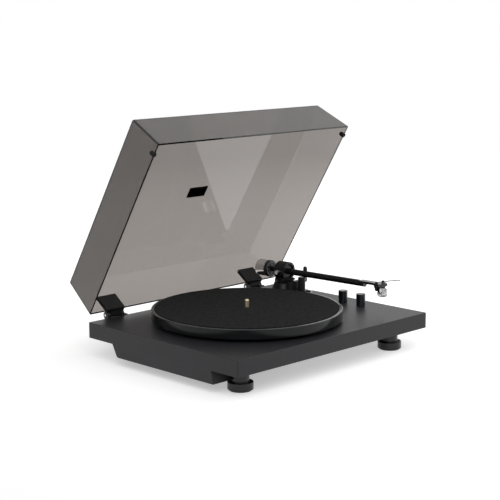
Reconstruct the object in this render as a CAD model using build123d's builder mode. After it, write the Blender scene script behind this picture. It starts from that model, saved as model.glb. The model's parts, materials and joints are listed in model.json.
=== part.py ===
from build123d import *
import os
from math import atan, cos, degrees, radians, sin, tan

# Turntable record player, in millimetres. The floor is z = 0, x runs to the right seen
# from the front and y to the rear, with the plinth's centre at x = y = 0.
os.makedirs("parts", exist_ok=True)

# Fits between pieces
seat_clearance = 0.02
running_clearance = 0.04
slip_clearance = 0.1
moving_gap = 0.5

# Recesses for a driver in the screw heads, as shares of a head's radius
recess_span = 1.25
recess_slot = 0.3
recess_depth = 0.3

# Plinth
plinth_width = 430.0
plinth_depth = 339.0
plinth_thickness = 25.0
plinth_corner_radius = 2.0
plinth_edge_radius = 1.0

# Feet
stand_height = 34.5
puck_radius = 19.4
puck_height = 13.6
puck_edge_radius = 1.2
neck_radius = 13.3
stud_radius = 4.0
stud_length = 14.0
pad_radius = 17.0
pad_thickness = 3.0
pad_seat_depth = 1.2
front_foot_from_side = 44.5
front_foot_from_front = 40.5
rear_foot_from_side = 70.0
rear_foot_from_rear = 34.5

# Tray under the plinth
tray_height = 20.0
tray_from_front = 56.0
tray_behind_arm = 22.5
tray_front_lean = 4.5
tray_rear_lean = 10.7
tray_rear_radius = 6.0
tray_side_wall = 3.0
tray_front_wall = 11.0
tray_rear_wall = 3.5
tray_floor = 3.0
tray_neck_gap = 2.5
tray_pillar_radius = 5.5
tray_screw_from_side = 24.0
tray_screw_from_front = 24.0
tray_screw_before_arm = 28.0
tray_screw_radius = 1.7
tray_screw_head_radius = 3.4
tray_screw_head_height = 2.2
tray_screw_bite = 12.0

# Control board inside the tray
board_width = 90.0
board_depth = 56.0
board_thickness = 1.6
board_from_right = 120.0
board_from_front = 120.0
board_leg_radius = 3.0
board_leg_height = 4.0
board_leg_inset = 5.0
board_part_height = 6.0
board_part_width = 18.0
board_part_depth = 14.0

# Platter, its mat and its bearing
spindle_from_left = 189.35
spindle_from_front = 173.15
platter_radius = 152.5
platter_height = 16.0
platter_lift = 4.2
platter_rim_width = 4.8
platter_web = 4.0
platter_skirt_width = 7.0
platter_edge_radius = 0.8
platter_rib_count = 12
platter_rib_width = 2.5
platter_rib_height = 2.2
mat_thickness = 1.8
mat_recess = 1.0
mat_hole_gap = 0.6
sub_platter_radius = 70.0
sub_platter_height = 9.7
sub_platter_web = 3.5
sub_platter_rim_width = 6.0
sub_platter_hub_radius = 18.0
sub_platter_boss_radius = 12.0
sub_platter_rib_count = 6
sub_platter_rib_width = 3.0
rib_overlap = 0.5
shaft_radius = 5.0
spindle_radius = 3.55
spindle_height = 12.3
spindle_tip_radius = 1.6
bearing_radius = 11.0
bearing_flange_radius = 22.0
bearing_flange_height = 2.5
bearing_length = 33.0
bearing_floor = 3.0
bearing_ball_radius = 3.0

# Motor and belt drive
motor_distance = 105.0
motor_direction = 135.0
motor_radius = 20.0
motor_length = 26.0
motor_hole_gap = 2.0
motor_nose_radius = 4.0
motor_nose_height = 1.0
motor_plate_radius = 33.0
motor_plate_thickness = 1.5
motor_fixing_radius = 27.5
motor_fixing_count = 3
grommet_radius = 4.2
grommet_height = 1.5
motor_screw_radius = 1.6
motor_screw_head_radius = 3.0
motor_screw_head_height = 1.4
motor_screw_bite = 10.0
motor_shaft_radius = 1.5
motor_shaft_depth = 16.0
pulley_radius = 6.0
pulley_flange_radius = 7.4
pulley_flange_height = 0.8
pulley_height = 7.4
pulley_lift = 5.2
belt_width = 4.5
belt_thickness = 0.8
belt_clearance = 0.15

# Connectors at the rear
panel_from_centre = 60.0
panel_width = 76.0
panel_height = 18.0
panel_thickness = 1.5
panel_recess = 1.0
panel_pocket_depth = 24.0
socket_radius = 4.15
socket_length = 9.0
socket_bore_radius = 1.75
socket_bore_depth = 8.0
socket_flange_radius = 5.6
socket_flange_height = 1.2
socket_tail_radius = 3.6
socket_tail_length = 9.0
socket_spacing = 15.0
terminal_radius = 4.0
terminal_length = 6.0
terminal_stud_radius = 2.0
terminal_stud_length = 9.0
inlet_width = 9.0
inlet_height = 11.0
inlet_length = 12.0
inlet_face_radius = 4.4
inlet_bore_radius = 2.85
inlet_bore_depth = 9.5
inlet_pin_radius = 1.0
connector_pitch = 18.0

# Lid and its hinges
lid_side_inset = 3.35
lid_front_inset = 5.06
lid_rear_inset = 1.94
lid_height = 72.0
lid_wall = 3.0
lid_draft_inset = 5.9
lid_corner_radius = 4.0
lid_top_radius = 3.0
lid_rim_gap = 3.67
lid_open_angle = 58.74
hinge_behind = 6.5
hinge_rise = 3.5
hinge_from_side = 56.5
knuckle_radius = 5.5
knuckle_left = 10.5
knuckle_right = 11.5
hinge_pin_radius = 2.0
hinge_pin_reach = 0.8
hinge_ear_width = 5.5
hinge_plate_thickness = 4.0
hinge_plate_drop = 21.0
hinge_ear_drop = 12.0
hinge_lug_width = 6.5
hinge_lug_depth = 10.5
hinge_lug_rise = 1.0
hinge_lug_drop = 10.0
clip_left = 19.5
clip_right = 17.0
clip_height = 28.5
clip_plate = 2.2
clip_bridge = 2.0
clip_web_height = 9.0
hinge_screw_radius = 1.7
hinge_screw_head_radius = 3.2
hinge_screw_head_height = 1.8
hinge_screw_bite = 12.0
hinge_screw_drop = 16.0
hinge_screw_inset = 7.0
lug_screw_length = 8.0
lug_screw_head_radius = 2.6
lug_screw_head_height = 0.9
bumper_radius = 4.0
bumper_reach = 1.4
bumper_grip = 7.2
bumper_rounding = 1.0
bumper_from_front = 19.8
badge_width = 40.0
badge_depth = 20.0
badge_thickness = 0.8
badge_corner_radius = 1.0

# Knobs
knob_radius = 7.75
knob_height = 20.2
knob_skirt_radius = 7.45
knob_skirt_height = 6.5
knob_groove = 0.5
knob_edge_radius = 0.6
knob_from_right = 37.0
knob_from_front = 109.2
knob_spacing = 39.3
knob_shaft_radius = 3.0
knob_shaft_length = 15.0
knob_pointer_width = 0.9
knob_pointer_length = 4.5
knob_pointer_depth = 0.5
switch_width = 18.0
switch_height = 12.0
switch_bush_radius = 4.6
switch_skin = 5.0
switch_pocket_gap = 2.0

# Tonearm
arm_platter_gap = 41.1
arm_mount_direction = 25.83
arm_rest_angle = 4.2
arm_forward = 270.0
arm_height = 43.5
arm_base_radius = 20.5
arm_base_side = 15.0
arm_base_top_radius = 17.0
arm_axis_above_base = 20.0
arm_stem_radius = 9.0
arm_stem_below = 9.0
arm_nut_radius = 14.0
arm_nut_height = 5.0
turret_radius = 16.5
turret_height = 6.0
yoke_shaft_radius = 3.0
yoke_shaft_below = 18.0
yoke_shaft_seat = 5.0
ring_radius = 16.0
ring_bore_radius = 12.5
ring_length = 21.0
pivot_sleeve_radius = 2.5
pivot_pin_radius = 1.0
pivot_pin_reach = 4.0
pivot_cap_radius = 3.6
pivot_cap_height = 6.0
pivot_slot_radius = 1.3
pivot_slot_depth = 1.2
block_radius = 10.5
block_length = 16.0
stub_radius = 4.0
stub_end = 54.0
tube_radius = 5.25
tube_wall = 0.85
tube_end = 170.0
tube_seat_depth = 6.0
counterweight_radius = 14.0
counterweight_front = 35.0
counterweight_length = 20.5
counterweight_edge = 1.2
counterweight_boss_radius = 8.0
dial_radius = 14.5
dial_width = 7.0
dial_face = 2.0
dial_bevel = 1.2

# Headshell and cartridge
headshell_top = 5.0
headshell_thickness = 4.0
headshell_tongue_width = 12.0
headshell_tongue_overlap = 7.0
headshell_spigot_length = 12.0
headshell_cap_length = 2.0
headshell_pad_width = 19.0
headshell_pad_length = 20.0
headshell_pad_radius = 2.5
cartridge_reach = 201.0
cartridge_side = 0.5
cartridge_offset_angle = 23.0
cartridge_screw_spacing = 12.7
cartridge_screw_radius = 1.2
cartridge_screw_head_radius = 2.4
cartridge_screw_head_height = 2.0
cartridge_screw_below = 9.0
cartridge_nut_radius = 2.4
cartridge_nut_height = 2.2
cartridge_flange_width = 18.0
cartridge_flange_depth = 8.0
cartridge_flange_height = 2.6
cartridge_body_width = 6.8
cartridge_nose_width = 11.0
cartridge_body_height = 10.0
cartridge_body_rear = 10.0
cartridge_body_front = 8.0
cartridge_nose_length = 4.5
cartridge_pin_radius = 0.6
cartridge_pin_length = 5.0
cartridge_pin_spacing = 3.2
stylus_holder_width = 7.4
stylus_holder_height = 4.0
stylus_holder_length = 8.5
stylus_drop = 16.2
stylus_reach = 9.5
stylus_rod_radius = 0.4
guard_width = 10.6
guard_wall = 1.1
guard_front = 15.5
guard_rear = 1.0
guard_bottom = 17.6
guard_top = 3.5
guard_chin = 4.5
guard_rounding = 2.2
finger_radius = 0.8
finger_eyelet_radius = 3.2
finger_eyelet_thickness = 1.2
finger_direction = -27.7
finger_length = 31.0
finger_rise = 0.9
finger_rise_start = 6.0
finger_rise_end = 9.0
finger_tip_drop = 1.0
finger_tip_length = 2.5
finger_bend_radius = 2.0

# Arm rest and cue lift
rest_reach = 38.5
rest_post_radius = 6.25
rest_foot_radius = 7.8
rest_foot_height = 2.5
rest_shelf_height = 8.0
rest_gap = 1.5
rest_prong_radius = 3.5
rest_prong_gap = 0.6
rest_prong_rise = 11.0
rest_spigot_radius = 3.0
rest_spigot_length = 10.0
cue_radius = 27.0
cue_bar_width = 5.0
cue_bar_thickness = 3.0
cue_bar_gap = 3.0
cue_bar_start = 15.0
cue_bar_end = 62.0
cue_rod_angle = 20.0
cue_rod_radius = 2.0
cue_rod_depth = 22.0
cue_tower_radius = 4.2
cue_tower_gap = 1.75
cue_tower_rise = 1.5
cue_block_left = 22.0
cue_block_right = 12.0
cue_block_depth = 8.4
cue_block_rounding = 1.5
cue_base_gap = 1.2
cue_lever_height = 10.0
cue_lever_side = 15.5
cue_lever_width = 5.0
cue_lever_boss_radius = 4.0
cue_lever_shaft_radius = 2.0
cue_lever_shaft_length = 16.0
cue_lever_tip_reach = 45.5
cue_lever_thickness = 2.6
cue_paddle_length = 9.0
cue_paddle_thickness = 4.2

# Levels and places that follow from the sizes
plinth_bottom = stand_height
plinth_top = stand_height + plinth_thickness
plinth_right = plinth_width / 2
plinth_front = -plinth_depth / 2
plinth_rear = plinth_depth / 2
tray_bottom = plinth_bottom - tray_height
tray_front = plinth_front + tray_from_front
spindle_x = -plinth_right + spindle_from_left
spindle_y = plinth_front + spindle_from_front
platter_bottom = plinth_top + platter_lift
platter_top = platter_bottom + platter_height
mat_bottom = platter_top - mat_recess
mat_top = mat_bottom + mat_thickness
mat_radius = platter_radius - platter_rim_width - slip_clearance
web_bottom = mat_bottom - platter_web
sub_platter_bottom = web_bottom - sub_platter_height
bearing_bottom = plinth_top - bearing_length
shaft_bottom = bearing_bottom + bearing_floor + 2 * bearing_ball_radius
motor_x = spindle_x + motor_distance * cos(radians(motor_direction))
motor_y = spindle_y + motor_distance * sin(radians(motor_direction))
motor_plate_bottom = plinth_top + grommet_height
motor_plate_top = motor_plate_bottom + motor_plate_thickness
pulley_bottom = plinth_top + pulley_lift
belt_bottom = pulley_bottom + (pulley_height - belt_width) / 2
panel_z = plinth_bottom + plinth_thickness / 2
panel_face = plinth_rear - panel_recess
lid_width = plinth_width - 2 * lid_side_inset
lid_depth = plinth_depth - lid_front_inset - lid_rear_inset
lid_draft = degrees(atan(lid_draft_inset / lid_height))
hinge_y = plinth_rear + hinge_behind
hinge_z = plinth_top + hinge_rise
hinge_places = (-plinth_right + hinge_from_side, plinth_right - hinge_from_side)
hinge_plate_left = knuckle_left + moving_gap + hinge_ear_width
hinge_plate_right = knuckle_right + moving_gap + hinge_ear_width
knob_x = plinth_right - knob_from_right
speed_knob_y = plinth_front + knob_from_front
power_knob_y = speed_knob_y + knob_spacing
knob_bottom = plinth_top + moving_gap
arm_mount_distance = platter_radius + arm_platter_gap
arm_x = spindle_x + arm_mount_distance * cos(radians(arm_mount_direction))
arm_y = spindle_y + arm_mount_distance * sin(radians(arm_mount_direction))
arm_axis_z = plinth_top + arm_height
arm_base_height = arm_height - arm_axis_above_base
tray_rear = arm_y + tray_behind_arm
turret_bottom = plinth_top + arm_base_height + moving_gap
headshell_bottom = headshell_top - headshell_thickness
shelf_z = -tube_radius - rest_gap
cue_bar_top = -tube_radius - cue_bar_gap
cue_tower_height = arm_height + cue_bar_top - cue_bar_thickness - cue_tower_gap
cue_block_height = cue_tower_height - cue_tower_rise
cue_block_rear = -arm_base_radius - cue_base_gap

# The lid's own frame, turned open about the hinge pins: its origin lies on the rear rim
opening = radians(lid_open_angle)
rim_y = -hinge_behind - lid_rear_inset
rim_z = lid_rim_gap - hinge_rise
lid_frame = Plane(
    origin=(
        0,
        hinge_y + rim_y * cos(opening) + rim_z * sin(opening),
        hinge_z - rim_y * sin(opening) + rim_z * cos(opening),
    ),
    x_dir=(1, 0, 0),
    z_dir=(0, sin(opening), cos(opening)),
)
lid_up = Axis(lid_frame.origin, lid_frame.z_dir)

# The arm's own frame at its pivot: x to the arm's right, y to its rear, z up
arm_turn = radians(arm_rest_angle)
arm_frame = Plane(
    origin=(arm_x, arm_y, arm_axis_z),
    x_dir=(cos(arm_turn), sin(arm_turn), 0),
    z_dir=(0, 0, 1),
)
arm_lathe = Plane(origin=arm_frame.origin, x_dir=arm_frame.x_dir, z_dir=(0, 0, -1))
cartridge_turn = radians(arm_rest_angle - cartridge_offset_angle)
cartridge_frame = Plane(
    origin=arm_frame.from_local_coords((cartridge_side, -cartridge_reach, headshell_bottom)),
    x_dir=(cos(cartridge_turn), sin(cartridge_turn), 0),
    z_dir=(0, 0, 1),
)


def level(height):
    """Horizontal plane at a height above the floor."""
    return Plane.XY.offset(height)


def upright(x, y):
    """Upright plane through a point, for outlines of radius and height."""
    return Plane(origin=(x, y, 0), x_dir=(1, 0, 0), z_dir=(0, -1, 0))


def arm_level(height):
    """Horizontal plane in the arm's frame, at a height above the arm's axis."""
    return arm_frame.offset(height)


def arm_station(reach):
    """Plane across the arm, facing forward, at a reach ahead of the pivot."""
    origin = arm_frame.from_local_coords((0, -reach, 0))
    return Plane(origin=origin, x_dir=arm_frame.x_dir, z_dir=-arm_frame.y_dir)


def arm_side(x):
    """Plane along the arm, with x forward and y up, facing the arm's left."""
    origin = arm_frame.from_local_coords((x, 0, 0))
    return Plane(origin=origin, x_dir=-arm_frame.y_dir, z_dir=-arm_frame.x_dir)


def lid_section(x):
    """Plane across the lid at x, with the lid's rearward and upward directions."""
    origin = lid_frame.from_local_coords((x, 0, 0))
    return Plane(origin=origin, x_dir=lid_frame.y_dir, z_dir=lid_frame.x_dir)


def turned(plane, outline, mode=Mode.ADD):
    """Turn an outline of (radius, height) points about the plane's own y axis."""
    with BuildSketch(plane) as section:
        with BuildLine():
            Polyline(*outline, close=True)
        make_face()
    revolve(section.sketch, axis=Axis(plane.origin, plane.y_dir), mode=mode)


def rod(plane, radius, length, places=((0, 0),), mode=Mode.ADD):
    """Raise round bars from places on a plane."""
    with BuildSketch(plane) as section:
        with Locations(*places):
            Circle(radius)
    extrude(section.sketch, amount=length, mode=mode)


def slab(plane, start, end, length, mode=Mode.ADD):
    """Raise a block from the rectangle between two corners on a plane."""
    with BuildSketch(plane) as section:
        with Locations(((start[0] + end[0]) / 2, (start[1] + end[1]) / 2)):
            Rectangle(abs(end[0] - start[0]), abs(end[1] - start[1]))
    extrude(section.sketch, amount=length, mode=mode)


def recess(plane, head_radius, facing, places):
    """Cut a cross for a driver into screw heads whose faces lie on a plane."""
    with BuildSketch(plane) as section:
        with Locations(*places):
            Rectangle(recess_span * head_radius, recess_slot * head_radius)
            Rectangle(recess_slot * head_radius, recess_span * head_radius)
    extrude(section.sketch, amount=-facing * recess_depth * head_radius, mode=Mode.SUBTRACT)


def plate(plane, outline, length, mode=Mode.ADD):
    """Raise a block from a closed outline of points on a plane."""
    with BuildSketch(plane) as section:
        with BuildLine():
            Polyline(*outline, close=True)
        make_face()
    extrude(section.sketch, amount=length, mode=mode)


def save(piece, name):
    """Name a finished piece and write its file."""
    piece.part.label = name
    export_step(piece.part, f"parts/{name}.step")


foot_places = {
    "front_left": (-plinth_right + front_foot_from_side, plinth_front + front_foot_from_front),
    "front_right": (plinth_right - front_foot_from_side, plinth_front + front_foot_from_front),
    "rear_left": (-plinth_right + rear_foot_from_side, plinth_rear - rear_foot_from_rear),
    "rear_right": (plinth_right - rear_foot_from_side, plinth_rear - rear_foot_from_rear),
}
tray_screw_places = [
    (side * (plinth_right - tray_screw_from_side), y)
    for side in (-1, 0, 1)
    for y in (tray_front + tray_screw_from_front, arm_y - tray_screw_before_arm)
]
motor_fixings = [
    (
        motor_x + motor_fixing_radius * cos(radians(360 * i / motor_fixing_count)),
        motor_y + motor_fixing_radius * sin(radians(360 * i / motor_fixing_count)),
    )
    for i in range(motor_fixing_count)
]
knob_places = [(knob_x, speed_knob_y), (knob_x, power_knob_y)]
hinge_screw_places = [
    (-x + offset, plinth_top - hinge_screw_drop)
    for x in hinge_places
    for offset in (
        hinge_plate_left - hinge_screw_inset,
        -hinge_plate_right - hinge_lug_width + hinge_screw_inset,
    )
]
rest_place = arm_frame.from_local_coords((0, -rest_reach, 0))
board_x = plinth_right - board_from_right
board_y = plinth_front + board_from_front
board_legs = [
    (board_x + i * (board_width / 2 - board_leg_inset), board_y + j * (board_depth / 2 - board_leg_inset))
    for i in (-1, 1)
    for j in (-1, 1)
]
rear_face = Plane(origin=(0, plinth_rear, 0), x_dir=(-1, 0, 0), z_dir=(0, 1, 0))
panel_front = Plane(
    origin=(panel_from_centre, panel_face, panel_z), x_dir=(-1, 0, 0), z_dir=(0, 1, 0)
)

# Plinth board with its holes and pockets
with BuildPart() as plinth:
    with BuildSketch(level(plinth_bottom)):
        RectangleRounded(plinth_width, plinth_depth, plinth_corner_radius)
    extrude(amount=plinth_thickness)
    fillet(plinth.faces().sort_by(Axis.Z)[-1].edges(), plinth_edge_radius)
    rod(
        level(plinth_bottom),
        bearing_radius + slip_clearance,
        plinth_thickness,
        [(spindle_x, spindle_y)],
        Mode.SUBTRACT,
    )
    rod(
        level(plinth_bottom),
        motor_radius + motor_hole_gap,
        plinth_thickness,
        [(motor_x, motor_y)],
        Mode.SUBTRACT,
    )
    rod(
        level(plinth_top),
        motor_screw_radius + seat_clearance,
        -motor_screw_bite - slip_clearance,
        motor_fixings,
        Mode.SUBTRACT,
    )
    rod(
        level(plinth_bottom),
        arm_stem_radius + slip_clearance,
        plinth_thickness,
        [(arm_x, arm_y)],
        Mode.SUBTRACT,
    )
    rod(
        level(plinth_top),
        rest_spigot_radius + seat_clearance,
        -rest_spigot_length - slip_clearance,
        [(rest_place.X, rest_place.Y)],
        Mode.SUBTRACT,
    )
    rod(
        level(plinth_bottom),
        stud_radius + seat_clearance,
        stud_length + slip_clearance,
        foot_places.values(),
        Mode.SUBTRACT,
    )
    rod(
        level(plinth_bottom),
        tray_screw_radius + seat_clearance,
        tray_screw_bite + slip_clearance,
        tray_screw_places,
        Mode.SUBTRACT,
    )
    rod(
        level(plinth_bottom),
        switch_bush_radius + slip_clearance,
        plinth_thickness,
        knob_places,
        Mode.SUBTRACT,
    )
    with BuildSketch(level(plinth_bottom)):
        with Locations(*knob_places):
            Rectangle(switch_width + 2 * switch_pocket_gap, switch_width + 2 * switch_pocket_gap)
    extrude(amount=plinth_thickness - switch_skin, mode=Mode.SUBTRACT)
    with BuildSketch(rear_face):
        with Locations((-panel_from_centre, panel_z)):
            Rectangle(panel_width, panel_height)
    extrude(amount=-panel_pocket_depth, mode=Mode.SUBTRACT)
    rod(
        rear_face,
        hinge_screw_radius + seat_clearance,
        -hinge_screw_bite - slip_clearance,
        hinge_screw_places,
        Mode.SUBTRACT,
    )
save(plinth, "plinth")

# Tray under the plinth, open at its top
with BuildPart() as undertray:
    with BuildSketch(Plane.YZ.offset(-plinth_right)) as tray_section:
        with BuildLine():
            Polyline(
                (tray_front, plinth_bottom),
                (tray_front - tray_front_lean, tray_bottom),
                (tray_rear - tray_rear_lean, tray_bottom),
                (tray_rear, plinth_bottom),
                close=True,
            )
        make_face()
        fillet(tray_section.vertices().group_by(Axis.Y)[0].sort_by(Axis.X)[-1], tray_rear_radius)
    extrude(amount=plinth_width)
    plate(
        Plane.YZ.offset(-plinth_right + tray_side_wall),
        [
            (tray_front + tray_front_wall, plinth_bottom),
            (tray_front - tray_front_lean + tray_front_wall, tray_bottom + tray_floor),
            (tray_rear - tray_rear_lean - tray_rear_wall, tray_bottom + tray_floor),
            (tray_rear - tray_rear_wall, plinth_bottom),
        ],
        plinth_width - 2 * tray_side_wall,
        Mode.SUBTRACT,
    )
    rod(
        level(tray_bottom),
        neck_radius + tray_neck_gap,
        tray_height,
        [foot_places["front_left"], foot_places["front_right"]],
        Mode.SUBTRACT,
    )
    rod(
        level(tray_bottom + tray_floor / 2),
        tray_pillar_radius,
        tray_height - tray_floor / 2,
        tray_screw_places,
    )
    rod(
        level(tray_bottom + tray_floor / 2),
        board_leg_radius,
        board_leg_height + tray_floor / 2,
        board_legs,
    )
    rod(
        level(tray_bottom),
        tray_screw_radius + slip_clearance,
        tray_height,
        tray_screw_places,
        Mode.SUBTRACT,
    )
    rod(
        level(tray_bottom),
        tray_screw_head_radius + slip_clearance,
        tray_screw_head_height,
        tray_screw_places,
        Mode.SUBTRACT,
    )
save(undertray, "undertray")

with BuildPart() as undertray_screws:
    rod(level(tray_bottom), tray_screw_head_radius, tray_screw_head_height, tray_screw_places)
    rod(level(tray_bottom), tray_screw_radius, tray_height + tray_screw_bite, tray_screw_places)
    recess(level(tray_bottom), tray_screw_head_radius, -1, tray_screw_places)
save(undertray_screws, "undertray_screws")

with BuildPart() as control_board:
    with BuildSketch(level(tray_bottom + tray_floor + board_leg_height)):
        with Locations((board_x, board_y)):
            Rectangle(board_width, board_depth)
    extrude(amount=board_thickness)
    with BuildSketch(level(tray_bottom + tray_floor + board_leg_height + board_thickness)):
        with Locations((board_x, board_y)):
            Rectangle(board_part_width, board_part_depth)
    extrude(amount=board_part_height)
save(control_board, "control_board")

# Four feet, each a puck on a neck with a threaded stud, and a rubber pad below
for place, (foot_x, foot_y) in foot_places.items():
    with BuildPart() as foot:
        with BuildSketch(upright(foot_x, foot_y)) as foot_section:
            with BuildLine():
                Polyline(
                    (0, pad_thickness),
                    (pad_radius + slip_clearance, pad_thickness),
                    (pad_radius + slip_clearance, pad_thickness - pad_seat_depth),
                    (puck_radius, pad_thickness - pad_seat_depth),
                    (puck_radius, puck_height),
                    (neck_radius, puck_height),
                    (neck_radius, plinth_bottom),
                    (stud_radius, plinth_bottom),
                    (stud_radius, plinth_bottom + stud_length),
                    (0, plinth_bottom + stud_length),
                    close=True,
                )
            make_face()
            fillet(foot_section.vertices().group_by(Axis.X)[-1], puck_edge_radius)
        revolve(axis=Axis((foot_x, foot_y, 0), (0, 0, 1)))
    save(foot, f"foot_{place}")
    with BuildPart() as foot_pad:
        rod(level(0), pad_radius, pad_thickness, [(foot_x, foot_y)])
        fillet(foot_pad.faces().sort_by(Axis.Z)[0].edges(), puck_edge_radius)
    save(foot_pad, f"foot_pad_{place}")

# Platter bearing, spindle, sub-platter, platter and mat
at_spindle = upright(spindle_x, spindle_y)
with BuildPart() as bearing_housing:
    turned(
        at_spindle,
        [
            (0, bearing_bottom),
            (bearing_radius, bearing_bottom),
            (bearing_radius, plinth_top),
            (bearing_flange_radius, plinth_top),
            (bearing_flange_radius, plinth_top + bearing_flange_height),
            (shaft_radius + running_clearance, plinth_top + bearing_flange_height),
            (shaft_radius + running_clearance, bearing_bottom + bearing_floor),
            (0, bearing_bottom + bearing_floor),
        ],
    )
save(bearing_housing, "bearing_housing")

with BuildPart() as bearing_ball:
    with Locations((spindle_x, spindle_y, bearing_bottom + bearing_floor + bearing_ball_radius)):
        Sphere(bearing_ball_radius)
save(bearing_ball, "bearing_ball")

with BuildPart() as spindle:
    turned(
        at_spindle,
        [
            (0, shaft_bottom + running_clearance),
            (shaft_radius, shaft_bottom + running_clearance),
            (shaft_radius, mat_bottom),
            (spindle_radius, mat_bottom),
            (spindle_radius, mat_top + spindle_height),
            (0, mat_top + spindle_height),
        ],
    )
    fillet(spindle.faces().sort_by(Axis.Z)[-1].edges(), spindle_tip_radius)
save(spindle, "spindle")

with BuildPart() as sub_platter:
    turned(
        at_spindle,
        [
            (shaft_radius + seat_clearance, sub_platter_bottom),
            (sub_platter_hub_radius, sub_platter_bottom),
            (sub_platter_hub_radius, web_bottom - sub_platter_web),
            (sub_platter_radius - sub_platter_rim_width, web_bottom - sub_platter_web),
            (sub_platter_radius - sub_platter_rim_width, sub_platter_bottom),
            (sub_platter_radius, sub_platter_bottom),
            (sub_platter_radius, web_bottom),
            (sub_platter_boss_radius, web_bottom),
            (sub_platter_boss_radius, mat_bottom - slip_clearance),
            (shaft_radius + seat_clearance, mat_bottom - slip_clearance),
        ],
    )
    with BuildSketch(Plane(origin=(spindle_x, spindle_y, sub_platter_bottom))):
        with PolarLocations(
            (sub_platter_hub_radius + sub_platter_radius - sub_platter_rim_width) / 2,
            sub_platter_rib_count,
        ):
            Rectangle(
                sub_platter_radius - sub_platter_rim_width - sub_platter_hub_radius + 2 * rib_overlap,
                sub_platter_rib_width,
            )
    extrude(amount=sub_platter_height - sub_platter_web)
save(sub_platter, "sub_platter")

with BuildPart() as platter:
    turned(
        at_spindle,
        [
            (sub_platter_boss_radius + seat_clearance, web_bottom),
            (platter_radius - platter_skirt_width, web_bottom),
            (platter_radius - platter_skirt_width, platter_bottom),
            (platter_radius - platter_edge_radius, platter_bottom),
            (platter_radius, platter_bottom + platter_edge_radius),
            (platter_radius, platter_top - platter_edge_radius),
            (platter_radius - platter_edge_radius, platter_top),
            (platter_radius - platter_rim_width, platter_top),
            (platter_radius - platter_rim_width, mat_bottom),
            (sub_platter_boss_radius + seat_clearance, mat_bottom),
        ],
    )
    with BuildSketch(Plane(origin=(spindle_x, spindle_y, web_bottom))):
        with PolarLocations(
            (sub_platter_radius + moving_gap + platter_radius - platter_skirt_width) / 2,
            platter_rib_count,
        ):
            Rectangle(
                platter_radius - platter_skirt_width - sub_platter_radius - moving_gap,
                platter_rib_width,
            )
    extrude(amount=-platter_rib_height)
save(platter, "platter")

with BuildPart() as felt_mat:
    rod(level(mat_bottom), mat_radius, mat_thickness, [(spindle_x, spindle_y)])
    rod(
        level(mat_bottom),
        spindle_radius + mat_hole_gap,
        mat_thickness,
        [(spindle_x, spindle_y)],
        Mode.SUBTRACT,
    )
save(felt_mat, "felt_mat")

# Motor hung from a plate on rubber grommets, with its pulley and the belt
at_motor = upright(motor_x, motor_y)
with BuildPart() as motor:
    turned(
        at_motor,
        [
            (0, motor_plate_bottom - motor_length),
            (motor_radius, motor_plate_bottom - motor_length),
            (motor_radius, motor_plate_bottom),
            (motor_nose_radius, motor_plate_bottom),
            (motor_nose_radius, motor_plate_top + motor_nose_height),
            (motor_shaft_radius + running_clearance, motor_plate_top + motor_nose_height),
            (
                motor_shaft_radius + running_clearance,
                motor_plate_bottom - motor_shaft_depth - running_clearance,
            ),
            (0, motor_plate_bottom - motor_shaft_depth - running_clearance),
        ],
    )
save(motor, "motor")

with BuildPart() as motor_plate:
    rod(level(motor_plate_bottom), motor_plate_radius, motor_plate_thickness, [(motor_x, motor_y)])
    rod(
        level(motor_plate_bottom),
        motor_nose_radius + slip_clearance,
        motor_plate_thickness,
        [(motor_x, motor_y)],
        Mode.SUBTRACT,
    )
    rod(
        level(motor_plate_bottom),
        motor_screw_radius + slip_clearance,
        motor_plate_thickness,
        motor_fixings,
        Mode.SUBTRACT,
    )
save(motor_plate, "motor_plate")

with BuildPart() as motor_grommets:
    rod(level(plinth_top), grommet_radius, grommet_height, motor_fixings)
    rod(
        level(plinth_top),
        motor_screw_radius + slip_clearance,
        grommet_height,
        motor_fixings,
        Mode.SUBTRACT,
    )
save(motor_grommets, "motor_grommets")

with BuildPart() as motor_screws:
    rod(level(motor_plate_top), motor_screw_head_radius, motor_screw_head_height, motor_fixings)
    rod(
        level(plinth_top - motor_screw_bite),
        motor_screw_radius,
        motor_screw_bite + grommet_height + motor_plate_thickness,
        motor_fixings,
    )
save(motor_screws, "motor_screws")

with BuildPart() as motor_pulley:
    turned(
        at_motor,
        [
            (0, motor_plate_bottom - motor_shaft_depth),
            (motor_shaft_radius, motor_plate_bottom - motor_shaft_depth),
            (motor_shaft_radius, pulley_bottom),
            (pulley_flange_radius, pulley_bottom),
            (pulley_flange_radius, pulley_bottom + pulley_flange_height),
            (pulley_radius, pulley_bottom + pulley_flange_height),
            (pulley_radius, pulley_bottom + pulley_height - pulley_flange_height),
            (pulley_flange_radius, pulley_bottom + pulley_height - pulley_flange_height),
            (pulley_flange_radius, pulley_bottom + pulley_height),
            (0, pulley_bottom + pulley_height),
        ],
    )
save(motor_pulley, "motor_pulley")

with BuildPart() as drive_belt:
    with BuildSketch(level(belt_bottom)):
        with Locations((spindle_x, spindle_y)):
            Circle(sub_platter_radius + belt_clearance + belt_thickness)
        with Locations((motor_x, motor_y)):
            Circle(pulley_radius + belt_clearance + belt_thickness)
        make_hull()
    extrude(amount=belt_width)
    with BuildSketch(level(belt_bottom)):
        with Locations((spindle_x, spindle_y)):
            Circle(sub_platter_radius + belt_clearance)
        with Locations((motor_x, motor_y)):
            Circle(pulley_radius + belt_clearance)
        make_hull()
    extrude(amount=belt_width, mode=Mode.SUBTRACT)
save(drive_belt, "drive_belt")

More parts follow.
